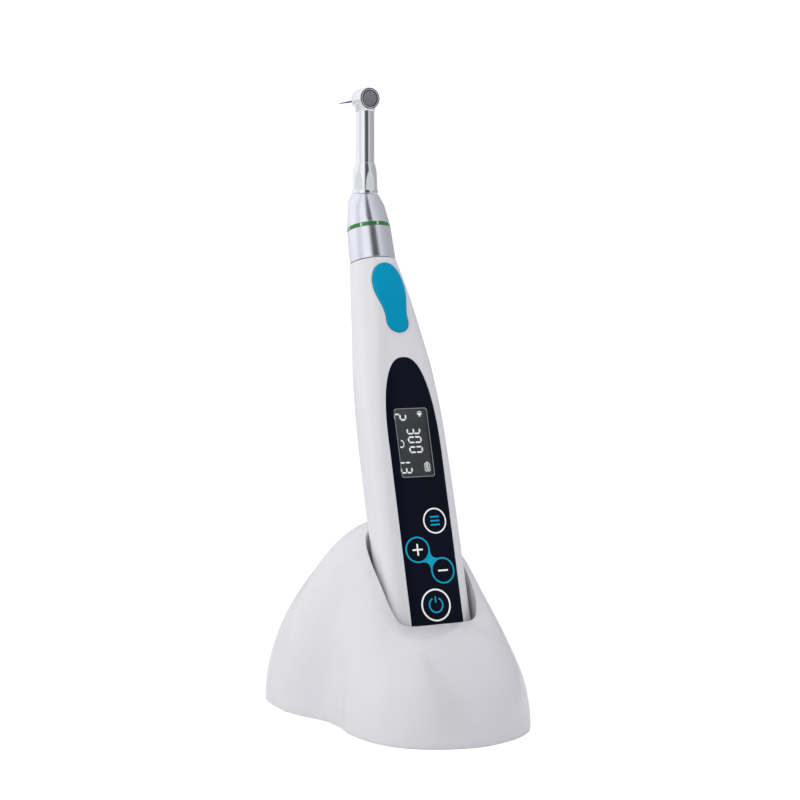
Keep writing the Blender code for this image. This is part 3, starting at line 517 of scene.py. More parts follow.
def make_looks():
    """Every material by its key."""
    white = {"mottle": 0.008, "grain": 2600, "bump": 0.015, "Subsurface_Weight": 0.05,
             "Subsurface_Scale": 0.002}
    return {
        "housing": plastic("white_housing", "white_plastic", (0.85, 0.85, 0.865), 0.2, coat=0.4, **white),
        "base": plastic("white_base", "white_plastic", (0.79, 0.79, 0.81), 0.2, coat=0.45, **white),
        "inner_white": plastic("inner_white", "inner_white", (0.70, 0.70, 0.70), 0.5, grain=2400, bump=0.12),
        "panel": plastic("panel_film", "panel_black", (0.0045, 0.0062, 0.0150), 0.2, mottle=0.12, grain=3600,
                         bump=0.02, Specular_IOR_Level=0.06),
        "ink_blue": plastic("ink_blue", "panel_black", (0.008, 0.44, 0.68), 0.4, mottle=0.04, grain=5200,
                            Specular_IOR_Level=0.1),
        # Painted light: the white ink glows a little, to brighten print that lies in shade; the print gives
        # no light of its own.
        "ink_white": plastic("ink_white", "panel_black", (0.90, 0.90, 0.90), 0.4, mottle=0.02, grain=5200,
                             Emission_Color=(1.0, 1.0, 1.0), Emission_Strength=0.22),
        "trigger": plastic("trigger_blue", "trigger_blue", (0.001, 0.345, 0.57), 0.38, mottle=0.03,
                           grain=2200, bump=0.06, Specular_IOR_Level=0.05),
        "sheath": metal("satin_nickel", "satin_nickel", (0.88, 0.89, 0.975), 0.22, 0.02, 0.01, smudge=0.12),
        "chrome": metal("bright_chrome", "chrome", (0.94, 0.955, 1.0), 0.09, 0.015, 0.01),
        "cap": metal("cap_grey", "cap_grey", (0.34, 0.335, 0.37), 0.5, 0.03, 0.04),
        "steel": metal("turned_steel", "steel", (0.55, 0.55, 0.57), 0.26, 0.08, 0.12),
        "brass": metal("turned_brass", "brass", (0.72, 0.50, 0.18), 0.24, 0.06, 0.10),
        "file": metal("blue_file", "file_metal", (0.10, 0.11, 0.42), 0.25, 0.05, 0.05),
        "ring": ring_look(),
        "rubber": plastic("rubber", "rubber", (0.03, 0.03, 0.032), 0.75, mottle=0.15, grain=1800, bump=0.35),
        "black": plastic("black_plastic", "black_plastic", (0.03, 0.03, 0.034), 0.45, mottle=0.1, grain=2000,
                         bump=0.15),
        "board": plastic("board_green", "board_green", (0.02, 0.17, 0.07), 0.4, mottle=0.2, grain=900,
                         bump=0.2),
        "wrap": plastic("battery_wrap", "battery_wrap", (0.05, 0.14, 0.34), 0.35, mottle=0.06, grain=900),
        "rim": plastic("display_rim", "display_glass", (0.30, 0.31, 0.32), 0.25, mottle=0.08, grain=2600),
        "lcd": lcd_look(),
        "lcd_ink": lcd_ink_look(),
        "lens": lens_look(),
    }


def ring_look():
    """Green enamel band with a few short worn bright gaps round it."""
    look = Look("ratio_green", "ring_green")
    axes = axes_of(look.tree, look.place)
    angle = math_node(look.tree, "ARCTAN2", axes["Y"], axes["X"])
    shift = math_node(look.tree, "PINGPONG", angle, math.radians(22.5))
    gaps = look.span(shift, 1, 0, math.radians(2.2), math.radians(3.0))
    cloud = look.span(look.noise(420, 4), 0, 1)
    green = look.blend(cloud, (0.012, 0.20, 0.030), (0.03, 0.33, 0.06))
    look.set(Base_Color=look.blend(gaps, green, (0.62, 0.78, 0.60)))
    look.set(Roughness=look.span(look.noise(300, 4), 0.22, 0.34), Metallic=0.35, Coat_Weight=0.4)
    look.set(Normal=look.bump(look.noise(1500, 3), 0.06, 0.00003))
    return look.material


def lcd_look():
    """Display glass: dark grey with a faint vertical cloudiness, and a painted reflection of the light that
    makes it lighter towards the bottom and towards the end nearer the nose.
    """
    look = Look("lcd_face", "black_plastic")
    axes = axes_of(look.tree, look.place)
    x0, x1, z0, z1 = (value * MM for value in DISPLAY_BOX)
    # Painted reflection of the light: the glass is made lighter at -X and at the end nearer the nose.
    across = look.span(axes["X"], 0, 1, x0, x0 + 0.6 * (x1 - x0))
    rise = look.span(axes["Z"], 0, 1, z1 - 0.35 * (z1 - z0), z1)
    color = look.blend(across, (0.062, 0.062, 0.060), (0.022, 0.023, 0.023))
    color = look.blend(rise, color, (0.085, 0.086, 0.086))
    cloud = look.span(look.noise(260, 3), 0.0, 0.25)
    look.set(Base_Color=look.blend(cloud, color, (0.05, 0.052, 0.052)), Roughness=0.4)
    look.set(Normal=look.bump(look.noise(2500, 2), 0.02, 0.00002))
    return look.material


def lcd_ink_look():
    """Lit display segments: pale, slightly uneven, with a little light of their own."""
    look = Look("lcd_segments", "black_plastic")
    cloud = look.span(look.noise(500, 3), 0, 1)
    tone = look.blend(cloud, (0.80, 0.83, 0.82), (0.93, 0.95, 0.94))
    look.set(Base_Color=tone, Roughness=0.5, Emission_Color=tone, Emission_Strength=0.8)
    return look.material


def lens_look():
    """Clear window: it lets straight through what lies under it, and reflects more at a slant."""
    look = Look("display_window", "display_glass")
    nodes, links = look.nodes, look.links
    nodes.remove(look.shader)
    clear = nodes.new("ShaderNodeBsdfTransparent")
    clear.inputs["Color"].default_value = (0.93, 0.94, 0.95, 1)
    gloss = nodes.new("ShaderNodeBsdfGlossy")
    gloss.inputs["Color"].default_value = (0.9, 0.9, 0.92, 1)
    links.new(look.span(look.noise(200, 4), 0.03, 0.07), gloss.inputs["Roughness"])
    fresnel = nodes.new("ShaderNodeFresnel")
    fresnel.inputs["IOR"].default_value = 1.38
    mix = nodes.new("ShaderNodeMixShader")
    links.new(fresnel.outputs["Fac"], mix.inputs[0])
    links.new(clear.outputs["BSDF"], mix.inputs[1])
    links.new(gloss.outputs["BSDF"], mix.inputs[2])
    links.new(mix.outputs["Shader"], nodes["Material Output"].inputs["Surface"])
    look.material.surface_render_method = "BLENDED"
    return look.material


# ---------------------------------------------------------------- charging base

def make_dome():
    """The white shell: up from the rim, over the mouth's band, down the slot's wall and back inside."""
    steps, skin_rows = 256, 40
    angles = turns(steps)
    feet = [base_foot(a) for a in angles]
    heights = [lip_height(a) for a in angles]
    lips = [from_handpiece(*slot_section(a), h) for a, h in zip(angles, heights)]
    spans = [(lip.to_2d() - foot).length for lip, foot in zip(lips, feet)]
    fronts = [max(0.0, -math.sin(a)) ** 4 for a in angles]
    bands = [LIP_BAND + FRONT_BAND_EXTRA * front for front in fronts]
    creases = [LIP_CREASE + (FRONT_CREASE - LIP_CREASE) * front for front in fronts]
    top = max(row[2] for row in BASE_STATIONS)

    def outer(plan):
        return base_height(*plan) * (1 - RIM_ROUND / top) + RIM_ROUND

    lifts = [lip.z + crease - outer(lip.to_2d()) for lip, crease in zip(lips, creases)]

    def skin_point(i, reach, shrink=1.0):
        """A point of the outer surface, at a distance in plan from the slot's edge."""
        share = 1 - reach / spans[i]
        plan = feet[i].lerp(lips[i].to_2d(), share)
        t = max(0.0, (share - MOUTH_BLEND) / (1 - MOUTH_BLEND))
        height = outer(plan) + lifts[i] * t * t * (MOUTH_EASE - (MOUTH_EASE - 1) * t)
        height -= creases[i] * max(0.0, 1 - reach / bands[i]) ** 1.25
        if reach < LIP_EDGE:
            height -= LIP_EDGE * (1 - math.sqrt(1 - (1 - reach / LIP_EDGE) ** 2))
        return Vector((plan.x * shrink, plan.y * shrink, max(height, RIM_Z) * shrink))

    def skin_ring(share, shrink=1.0):
        """A ring at a share of the way from the foot to the band round the mouth."""
        return [skin_point(i, spans[i] - (spans[i] - bands[i]) * share, shrink) for i in range(steps)]

    shares = [1 - math.cos(math.pi / 2 * row / skin_rows) for row in range(skin_rows + 1)]
    rim = ((0.955, 1.1), (0.978, RIM_Z), (0.992, RIM_Z), (0.998, RIM_Z + 0.25))
    rings = [[(f.x * inset, f.y * inset, z) for f in feet] for inset, z in rim]
    rings += [skin_ring(share) for share in shares]
    for share in (0.95, 0.87, 0.76, 0.64, 0.52, 0.41, 0.31, 0.22, 0.15):
        rings.append([skin_point(i, bands[i] * share) for i in range(steps)])
    for reach in (0.5, 0.38, 0.25, 0.14, 0.06, 0.01):
        rings.append([skin_point(i, reach) for i in range(steps)])
    for drop in (0.55, 1.4, 3.5):
        rings.append([from_handpiece(*slot_section(a), h - drop) for a, h in zip(angles, heights)])
    rings.append([from_handpiece(*slot_section(a), SLEEVE_END) for a in angles])
    rings.append([from_handpiece(*slot_section(a, SLEEVE_WALL), SLEEVE_END) for a in angles])
    rings.append([from_handpiece(*slot_section(a, SLEEVE_WALL), h - 5) for a, h in zip(angles, heights)])
    rings += [skin_ring(share, 0.95) for share in reversed(shares[: skin_rows - 8: 4])]
    dome = ringed("base_cover", rings, "base", "base", stands_for=["base_dome"], closed=True, sharp=55)
    carve(dome, "DIFFERENCE", helper([circle(4.3, 40), circle(4.3, 70)], inlet_place()))


def inlet_place():
    """Frame of the power inlet, with Z to the rear."""
    return Matrix.Translation((0, 0, middle("power_inlet").z)) @ TO_REAR


def make_cradle():
    """Cup that the handpiece's end drops into, with its two sprung charging pins."""
    angles = turns(128)
    top = SLEEVE_END - 0.3

    def cup(grow, height):
        return [(*handle_section(HANDLE_END, a, -grow), height) for a in angles]

    rings = [cup(2.5, -162.2), cup(2.5, top - 2.0)]
    rings += [[(*slot_section(a, SLEEVE_WALL), height) for a in angles] for height in (top - 1.9, top)]
    rings += [cup(0.5, top), cup(0.5, -160.0), cup(0.2, -160.2)]
    cradle = ringed("charging_cup", rings, "inner_white", "base", HANDPIECE, ["cradle"])
    carve(cradle, "DIFFERENCE", *pin_holes(1.6, -163, -159, 40))
    for side, (x, y) in PIN_PLACES.items():
        place = HANDPIECE @ Matrix.Translation(Vector((x, y, 0)) * MM)
        profile = [(0.7, -166.9), (0.7, -165.2), (1.25, -165.2), (1.25, -160.9), (1.05, -160.2),
                   (0.55, -159.8)]
        body = f"charge_pin_{side}"
        turned(f"spring_pin_{side}", profile, "brass", body, place, [body], soft=0.2, steps=48)


def make_underside():
    """Fine bottom plate, screws and ringed feet, and the round power inlet at the back."""
    feet = [base_foot(a) for a in turns(160)]
    rings = [[(f.x * across, f.y * along, z) for f in feet]
             for across, along, z in ((0.905, 0.927, 1.5), (0.915, 0.935, 1.8), (0.915, 0.935, 3.6))]
    plate = ringed("bottom_plate", rings, "inner_white", "base", stands_for=["base_plate"])
    holes = []
    for side in ("left", "right"):
        at = middle(f"base_screw_{side}")
        place = Matrix.Translation((at.x, at.y, 0))
        holes.append(helper([circle(1.5, 0, 48), circle(1.5, 6, 48)], place))
        profile = [(2.5, 0.5), (2.5, 1.2), (1.2, 1.2), (1.2, 10.0)]
        screw = turned(f"plate_screw_{side}", profile, "steel", "base", place, [f"base_screw_{side}"],
                       steps=48)
        cross = []
        for half, across in ((0.225, 1.5), (1.5, 0.225)):
            corners = ((-half, -across), (half, -across), (half, across), (-half, across))
            cross.append(helper([[(x, y, z) for x, y in corners] for z in (0, 1.0)], place))
        carve(screw, "DIFFERENCE", *cross)
    carve(plate, "DIFFERENCE", *holes)
    for corner in ("front_left", "front_right", "rear_left", "rear_right"):
        at = middle(f"rubber_foot_{corner}")
        profile = [(0.01, 0.25), (3.4, 0.25), (3.6, 0.0), (4.9, 0.0), (5.4, 0.35), (5.4, 1.2), (0.01, 1.2)]
        turned(f"foot_pad_{corner}", profile, "rubber", "base", Matrix.Translation((at.x, at.y, 0)),
               [f"rubber_foot_{corner}"], soft=0.12, steps=64)
    rear = inlet_place()
    barrel = [(0.01, 46.0), (3.9, 46.0), (3.9, 60.0), (2.8, 60.0), (2.8, 51.0), (0.01, 51.0)]
    turned("inlet_barrel", barrel, "black", "base", rear, ["power_inlet"], soft=0.3, steps=64)
    turned("inlet_pin", [(1.0, 50.5), (1.0, 57.6), (0.55, 58.0)], "steel", "base", rear, soft=0.2, steps=40)


# ---------------------------------------------------------------- handpiece housing

def trigger_outline(grow=0.0, steps=4):
    """Outline like a bowling pin upside down: a wide top bulb, a waist and a small bottom bulb."""
    half = [
        (-3.1, 0.0), (-3.5, 2.2), (-4.8, 4.1), (-7.0, 5.5), (-9.5, 6.3), (-12.2, 6.6), (-14.8, 6.5),
        (-17.4, 6.0), (-19.9, 5.35), (-22.4, 4.75), (-25.0, 4.45), (-27.0, 4.55), (-28.7, 4.4), (-30.3, 3.65),
        (-31.6, 2.1), (-32.15, 0.0),
    ]
    points = [Vector((x, z)) for z, x in half] + [Vector((-x, z)) for z, x in reversed(half[1:-1])]
    points = [point + Vector((TRIGGER_SHIFT, 0)) for point in points]
    count = len(points)
    outline = []
    for i in range(count):
        p0, p1, p2, p3 = (points[(i + k) % count] for k in (-1, 0, 1, 2))
        for t in (k / steps for k in range(steps)):
            outline.append(0.5 * (
                2 * p1 + (p2 - p0) * t + (2 * p0 - 5 * p1 + 4 * p2 - p3) * t**2
                + (3 * p1 - p0 - 3 * p2 + p3) * t**3
            ))
    count = len(outline)
    signed_area = sum(a.x * b.y - b.x * a.y for a, b in zip(outline, outline[1:] + outline[:1])) / 2
    outward = 1 if signed_area < 0 else -1
    moved = []
    for i, point in enumerate(outline):
        along = (outline[(i + 1) % count] - outline[i - 1]).normalized()
        moved.append(point + Vector((-along.y, along.x)) * grow * outward)
    return moved


def panel_outline(grow=0.0, points=48):
    """Outline of the panel: an arch over a foot with square corners."""
    width, bottom = PANEL_HALF_WIDTH + grow, PANEL_BOTTOM - grow
    length, centre = PANEL_ARCH + grow, PANEL_TOP - PANEL_ARCH
    arch = []
    for i in range(points + 1):
        angle = math.pi * i / points
        across = signed_power(math.cos(angle), 2 / PANEL_ARCH_POWER)
        rise = signed_power(math.sin(angle), 2 / PANEL_ARCH_POWER)
        arch.append((PANEL_SHIFT * (1 - rise) + width * across, centre + length * rise))
    return arch + [(PANEL_SHIFT - width, bottom), (PANEL_SHIFT + width, bottom)]


def shell_wall(name, first, last, count, look, stands_for):
    """A wall of the housing between two section angles, with softened long edges and ends."""
    rows = [(SHELL_START, 0.3), (SHELL_START + 0.12, 0.1), (SHELL_START + 0.35, 0.0)]
    rows += [(SHELL_START + 0.35 + (SHELL_END - SHELL_START - 0.6) * i / 110, 0.0) for i in range(1, 111)]
    rows.append((SHELL_END, 0.2))
    edge = math.radians(0.5)
    inner_angles = [first + edge + (last - first - 2 * edge) * i / (count - 1) for i in range(count)]
    angles = [(first, 0.18)] + [(a, 0.0) for a in inner_angles] + [(last, 0.18)]
    rings = []
    for down, inset in rows:
        outer = [(*handle_section(down, a, inset + extra), -down) for a, extra in angles]
        inner = [(*handle_section(down, a, HANDLE_WALL), -down) for a, _ in reversed(angles)]
        rings.append(outer + inner)
    return ringed(name, rings, look, "handpiece", HANDPIECE, stands_for, sharp=50)


def bead(name, outline, radius, lift, look, body):
    """A thin rounded rim along an outline on the housing's front surface."""
    count = len(outline)
    points = [Vector((x, face_y(x, z, lift), z)) for x, z in outline]
    bm = bmesh.new()
    rings = []
    for i, point in enumerate(points):
        along = (points[(i + 1) % count] - points[i - 1]).normalized()
        out = Vector((0, -1, 0))
        side = along.cross(out).normalized()
        out = side.cross(along)
        rings.append([point + radius * (math.cos(a) * side + 0.6 * math.sin(a) * out) for a in turns(8)])
    skin(bm, rings, closed=True)
    return put(name, bm, look, body, HANDPIECE)


def make_housing():
    """Front and rear shells, the rims round panel and trigger, the screw, the end cap and its contacts."""
    front = shell_wall("housing_front", -math.pi - PARTING_ANGLE, PARTING_ANGLE, 150, "housing",
                       ["front_shell"])
    slit = math.radians(1.6)
    rear = shell_wall("housing_rear", PARTING_ANGLE + slit, math.pi - PARTING_ANGLE - slit, 90, "housing",
                      ["rear_shell"])
    x0, x1, z0, z1 = DISPLAY_BOX
    cutters = [
        front_cutter(trigger_outline(0.16), 4, 24),
        front_cutter(panel_outline(0.3), PANEL_BACK - 0.3, 24),
        front_cutter(box_outline(x0 + 0.4, x1 - 0.4, z0 + 0.4, z1 - 0.4, 0.4), 9, 24),
    ]
    cutters += [front_cutter(round_outline(x, z, 3.0), 9, 24) for x, z, _ in KEYS.values()]
    carve(front, "DIFFERENCE", *cutters)
    bead("panel_rim", panel_outline(0.42, 96), 0.22, -0.03, "housing", "handpiece")
    bead("trigger_rim", trigger_outline(0.5), 0.36, 0.06, "housing", "handpiece")
    carve(rear, "DIFFERENCE", front_cutter(round_outline(0, -146, 1.9), -12, -4))
    screw_place = HANDPIECE @ Matrix.Translation(Vector((0, 0, -146)) * MM) @ TO_REAR
    turned("rear_screw", [(0.5, 7.6), (0.6, 8.1), (1.6, 8.1), (1.6, 6.4), (0.01, 6.4)], "steel", "handpiece",
           screw_place, ["shell_screw"], steps=48)
    angles = turns(160)
    rows = [(HANDLE_END, 1.8), (159.3, 1.1), (158.9, 0.5), (158.4, 0.15), (157.8, 0), (SHELL_END + 0.5, 0),
            (SHELL_END + 0.3, 0.2)]
    rings = [[(*handle_section(down, a, inset), -down) for a in angles] for down, inset in rows]
    cap = ringed("housing_end", rings, "housing", "handpiece", HANDPIECE, ["end_cap"])
    carve(cap, "DIFFERENCE", *pin_holes(2.5, -161, -155, 48))
    for side, (x, y) in PIN_PLACES.items():
        place = HANDPIECE @ Matrix.Translation(Vector((x, y, 0)) * MM)
        profile = [(0.01, -159.2), (1.4, -159.2), (1.6, -159.4), (2.2, -159.4), (2.2, -157), (1.0, -156.6),
                   (1.0, -153.5)]
        turned(f"contact_pad_{side}", profile, "brass", "handpiece", place, [f"charge_contact_{side}"],
               steps=48)


def make_trigger():
    """Blue button: a flat-topped form that follows the housing, with a thin bevel round its edge."""
    outline = trigger_outline()
    centre = Vector((TRIGGER_SHIFT, -17.6))
    rings = [[(p.x, -9.2, p.y) for p in outline]]
    for inset, lift in ((0.0, 0.1), (0.12, 0.36), (0.34, 0.52), (0.6, TRIGGER_LIFT)):
        edge = trigger_outline(-inset)
        rings.append([(p.x, face_y(p.x, p.y, lift), p.y) for p in edge])
    for share in (0.88, 0.7, 0.5, 0.3, 0.12):
        inner = [centre.lerp(p, share) for p in edge]
        rings.append([(q.x, face_y(q.x, q.y, TRIGGER_LIFT), q.y) for q in inner])
    ringed("trigger_cap", rings, "trigger", "trigger", HANDPIECE, ["trigger_button"], sharp=50)


# ---------------------------------------------------------------- control panel

def make_panel():
    """Smooth keypad panel, flush with the housing, with wells for the keys and the window."""
    centre = PANEL_TOP - PANEL_ARCH
    rows = [PANEL_BOTTOM + (centre - PANEL_BOTTOM) * i / 44 for i in range(45)]
    rows += [centre + PANEL_ARCH * math.sin(math.pi / 2 * i / 40) ** 0.9 for i in range(1, 40)]
    columns = [math.sin(math.pi / 2 * i / 14) for i in range(-14, 15)]
    bm = bmesh.new()
    rings = []
    for z in rows:
        rise = max(0.0, (z - centre) / PANEL_ARCH)
        half = PANEL_HALF_WIDTH * (1 - rise**PANEL_ARCH_POWER) ** (1 / PANEL_ARCH_POWER)
        shift = PANEL_SHIFT * (1 - rise)
        front = []
        for column in columns:
            x = shift + half * column
            front.append((x, face_y(x, z, -0.12 if abs(column) == 1 else 0.0), z))
        back = [(shift + half, -PANEL_BACK, z), (shift - half, -PANEL_BACK, z)]
        rings.append(front + back)
    skin(bm, rings)
    panel = put("keypad_panel", bm, "panel", "handpiece", HANDPIECE, ["display_panel"], sharp=50)
    x0, x1, z0, z1 = DISPLAY_BOX
    cutters = [front_cutter(box_outline(x0, x1, z0, z1, 0.5), 9, 24)]
    cutters += [front_cutter(round_outline(x, z, radius + 0.1), 9, 24) for x, z, radius in KEYS.values()]
    carve(panel, "DIFFERENCE", *cutters)


def make_display():
    """Window with a thin bright rim, the dark display just under it and its lit segments."""
    x0, x1, z0, z1 = (value + inset for value, inset in zip(DISPLAY_BOX, (0.15, -0.15, 0.15, -0.15)))
    outline = box_outline(x0, x1, z0, z1, 1.0)
    centre = Vector(((x0 + x1) / 2, (z0 + z1) / 2))
    thick = 0.5
    rings = []
    for share, lift in ((0.1, -thick), (0.55, -thick), (0.9, -thick), (1.0, -thick), (1.0, -0.1),
                        (0.985, 0.0), (0.9, 0.0), (0.75, 0.0), (0.55, 0.0), (0.3, 0.0), (0.1, 0.0)):
        inner = [centre.lerp(Vector(p), share) for p in outline]
        rings.append([(p.x, face_y(p.x, p.y, lift), p.y) for p in inner])
    ringed("display_window", rings, "lens", "handpiece", HANDPIECE, ["display_lens"])
    rings = []
    for grow, lift in ((0.0, -0.08), (0.0, 0.03), (-0.14, 0.05), (-0.3, 0.03), (-0.3, -0.08)):
        shift_left = -0.2 * grow
        inner = box_outline(x0 - grow - shift_left, x1 + grow, z0 - grow, z1 + grow, 1.0)
        rings.append([(x, face_y(x, z, lift), z) for x, z in inner])
    ringed("display_rim", rings, "rim", "handpiece", HANDPIECE, closed=True)
    rings = [[(x, -LCD_FACE + back, z) for x, z in box_outline(x0 + 0.1, x1 - 0.1, z0 + 0.1, z1 - 0.1, 0.9)]
             for back in (2.0, 0.08)]
    area = (x0 + 0.18, x1 - 0.18, z0 + 0.18, z1 - 0.18)
    rings.append([(x, -LCD_FACE, z) for x, z in box_outline(*area, 0.9)])
    ringed("lcd_glass", rings, "lcd", "handpiece", HANDPIECE, ["lcd_module"])
    make_segments(area)


SEGMENTS = {
    "0": "abcdef", "1": "bc", "2": "abged", "3": "abgcd",
}


def segment_bars(digit):
    """Segments of a digit as bars in a unit box: (centre across, centre up, is it upright)."""
    places = {"a": (0.5, 1.0, False), "b": (1.0, 0.75, True), "c": (1.0, 0.25, True), "d": (0.5, 0.0, False),
              "e": (0.0, 0.25, True), "f": (0.0, 0.75, True), "g": (0.5, 0.5, False)}
    return [places[key] for key in SEGMENTS[digit]]


def make_segments(area):
    """Display contents, read with the handle lying on its side: glyphs stand towards +X and run downwards."""
    x0, x1, z0, z1 = area
    wide, tall = x1 - x0, z1 - z0
    bm = bmesh.new()

    def bar(cx, cz, half_x, half_z):
        tip = min(half_x, half_z)
        if half_x > half_z:
            outline = [(-half_x, 0), (tip - half_x, -half_z), (half_x - tip, -half_z), (half_x, 0),
                       (half_x - tip, half_z), (tip - half_x, half_z)]
        else:
            outline = [(0, -half_z), (half_x, tip - half_z), (half_x, half_z - tip), (0, half_z),
                       (-half_x, half_z - tip), (-half_x, tip - half_z)]
        skin(bm, [[(cx + x, -LCD_FACE - depth, cz + z) for x, z in outline] for depth in (0.01, 0.05)])

    def digit(text, u, v, height, width):
        """A digit whose middle is at the shares u and v of the area."""
        cx, cz = x0 + u * wide, z1 - v * tall
        rise, run = height * wide, width * tall
        thick = 0.6
        for across, up, upright in segment_bars(text):
            x = cx + (up - 0.5) * rise
            z = cz - (across - 0.5) * run
            if upright:
                bar(x, z, rise / 4 - 0.16, thick / 2)
            else:
                bar(x, z, thick / 2, run / 2 - 0.16)

    for text, u, v, height, width in (("2", 0.175, 0.115, 0.34, 0.082), ("3", 0.535, 0.325, 0.38, 0.078),
                                      ("0", 0.545, 0.455, 0.38, 0.078), ("0", 0.55, 0.600, 0.38, 0.078),
                                      ("1", 0.165, 0.755, 0.32, 0.060), ("3", 0.18, 0.893, 0.32, 0.076)):
        digit(text, u, v, height, width)
    cx, cz = x0 + 0.83 * wide, z1 - 0.865 * tall
    for dx, dz, half_x, half_z in ((-1.0, 0, 0.13, 1.5), (1.0, 0, 0.13, 1.5), (0, -1.5, 1.0, 0.13),
                                   (0, 1.5, 1.0, 0.13), (0, 1.85, 0.45, 0.22), (0, -0.8, 0.6, 0.24),
                                   (0, 0.0, 0.6, 0.24), (0, 0.8, 0.6, 0.24)):
        bar(cx + dx, cz + dz, half_x, half_z)
    cx, cz = x0 + 0.785 * wide, z1 - 0.085 * tall
    for k in range(4):
        bar(cx, cz - 0.9 + 0.42 * k, 0.15 + 0.33 * k, 0.2)
    bar(cx, cz + 1.0, 0.8, 0.16)
    cx, cz = x0 + 0.12 * wide, z1 - 0.51 * tall
    for k in range(9):
        angle = math.radians(-120 + 26 * k)
        bar(cx + 1.0 * math.cos(angle), cz + 1.3 * math.sin(angle), 0.2, 0.34)
    put("lcd_segments", bm, "lcd_ink", "handpiece", HANDPIECE, sharp=30)


def make_keys():
    """Round membrane keys, flush with the panel, with a soft edge and a narrower stem behind."""
    for name, (x, z, radius) in KEYS.items():
        rings = []
        for r, y in ((2.6, -12.2), (2.6, -KEY_BACK), (radius - 0.1, -KEY_BACK),
                     (radius - 0.1, -KEY_BACK - 0.1)):
            rings.append([(px, y, pz) for px, pz in round_outline(x, z, r, 72)])
        for r, lift in ((radius, -0.18), (radius - 0.06, -0.06), (radius - 0.2, 0.0), (radius * 0.75, 0.02),
                        (radius * 0.5, 0.03), (radius * 0.25, 0.03), (0.15, 0.03)):
            rings.append([(px, face_y(px, pz, lift), pz) for px, pz in round_outline(x, z, r, 72)])
        ringed(f"{name}_top", rings, "panel", name, HANDPIECE, [name], sharp=50)


def print_stroke(bm, path, width, closed):
    """A printed line on the front surface."""
    count = len(path)
    rings = []
    for i, (x, z) in enumerate(path):
        before = path[i - 1] if closed or i else path[i]
        after = path[(i + 1) % count] if closed or i < count - 1 else path[i]
        along = Vector((after[0] - before[0], after[1] - before[1])).normalized()
        side = Vector((-along.y, along.x)) * width / 2
        ring = []
        for share, drop in ((-1, PRINT_THICK), (-1, 0), (-0.5, 0), (0, 0), (0.5, 0), (1, 0),
                            (1, PRINT_THICK)):
            px, pz = x + side.x * share, z + side.y * share
            ring.append((px, face_y(px, pz, PRINT_LIFT - drop), pz))
        rings.append(ring)
    skin(bm, rings, closed=closed)


def arc(x, z, radius, start, end, steps):
    """Points on an arc; angles in degrees, anticlockwise from +X."""
    angles = [math.radians(start + (end - start) * i / steps) for i in range(steps + 1)]
    return [(x + radius * math.cos(a), z + radius * math.sin(a)) for a in angles]


def line(start, end, steps=10):
    """Points on a straight line."""
    return [(start[0] + (end[0] - start[0]) * i / steps, start[1] + (end[1] - start[1]) * i / steps)
            for i in range(steps + 1)]


def make_prints():
    """Generic key symbols: three bars for the program, plus, minus and the power mark, with their rings."""
    prints = {}

    def stroke(name, path, width, closed=False):
        if name not in prints:
            prints[name] = bmesh.new()
        print_stroke(prints[name], path, width, closed)

    x, z, _ = KEYS["program_key"]
    stroke("program_key:ink_white:ring", round_outline(x, z, 4.65, 72), 0.55, True)
    for k in (-1, 0, 1):
        stroke("program_key:ink_blue:bars", line((x - 1.9, z + 1.5 * k), (x + 1.9, z + 1.5 * k)), 0.62)
    x, z, _ = KEYS["plus_key"]
    stroke("plus_key:ink_blue:ring", round_outline(x, z, 4.68, 72), 0.6, True)
    stroke("plus_key:ink_white:mark", line((x - 2.1, z), (x + 2.1, z)), 0.62)
    stroke("plus_key:ink_white:mark", line((x, z + 0.33), (x, z + 2.2)), 0.62)
    stroke("plus_key:ink_white:mark", line((x, z - 0.33), (x, z - 2.2)), 0.62)
    x, z, _ = KEYS["minus_key"]
    stroke("minus_key:ink_blue:ring", round_outline(x, z, 4.68, 72), 0.6, True)
    stroke("minus_key:ink_white:mark", line((x - 2.1, z), (x + 2.1, z)), 0.62)
    x, z, _ = KEYS["power_key"]
    stroke("power_key:ink_white:ring", round_outline(x, z, 5.8, 80), 0.62, True)
    stroke("power_key:ink_blue:mark", arc(x, z, 2.75, 118, 422, 40), 0.58)
    stroke("power_key:ink_blue:mark", line((x, z + 0.9), (x, z + 3.2)), 0.58)
    prints["panel:ink_blue:link"] = bridge_waist()
    for name, bm in prints.items():
        body, ink, mark = name.split(":")
        put(f"print_{body}_{mark}", bm, ink, body if body in KEYS else "handpiece", HANDPIECE)


def bridge_waist():
    """The waisted blue link printed on the panel between the plus and minus rings."""
    plus, minus = Vector(KEYS["plus_key"][:2]), Vector(KEYS["minus_key"][:2])
    reach = KEYS["plus_key"][2] + 0.11
    along = (minus - plus).normalized()
    side = Vector((-along.y, along.x))
    rows = []
    gap = (minus - plus).length
    for k in range(-10, 11):
        across = k / 10
        half = 3.4 * across
        start = math.sqrt(max(reach**2 - half**2, 0.0))
        rows.append((half, start, gap - start))
    rings = []
    for k in range(13):
        share = k / 12
        waist = 1 - 0.52 * math.sin(math.pi * share) ** 0.8
        ring = []
        for half, start, end in rows:
            at = plus + along * (start + (end - start) * share) + side * half * waist
            ring.append((at.x, face_y(at.x, at.y, PRINT_LIFT), at.y))
        under = [(x, y + PRINT_THICK, z) for x, y, z in reversed(ring)]
        rings.append(ring + under)
    bm = bmesh.new()
    skin(bm, rings)
    return bm


# ---------------------------------------------------------------- contra-angle

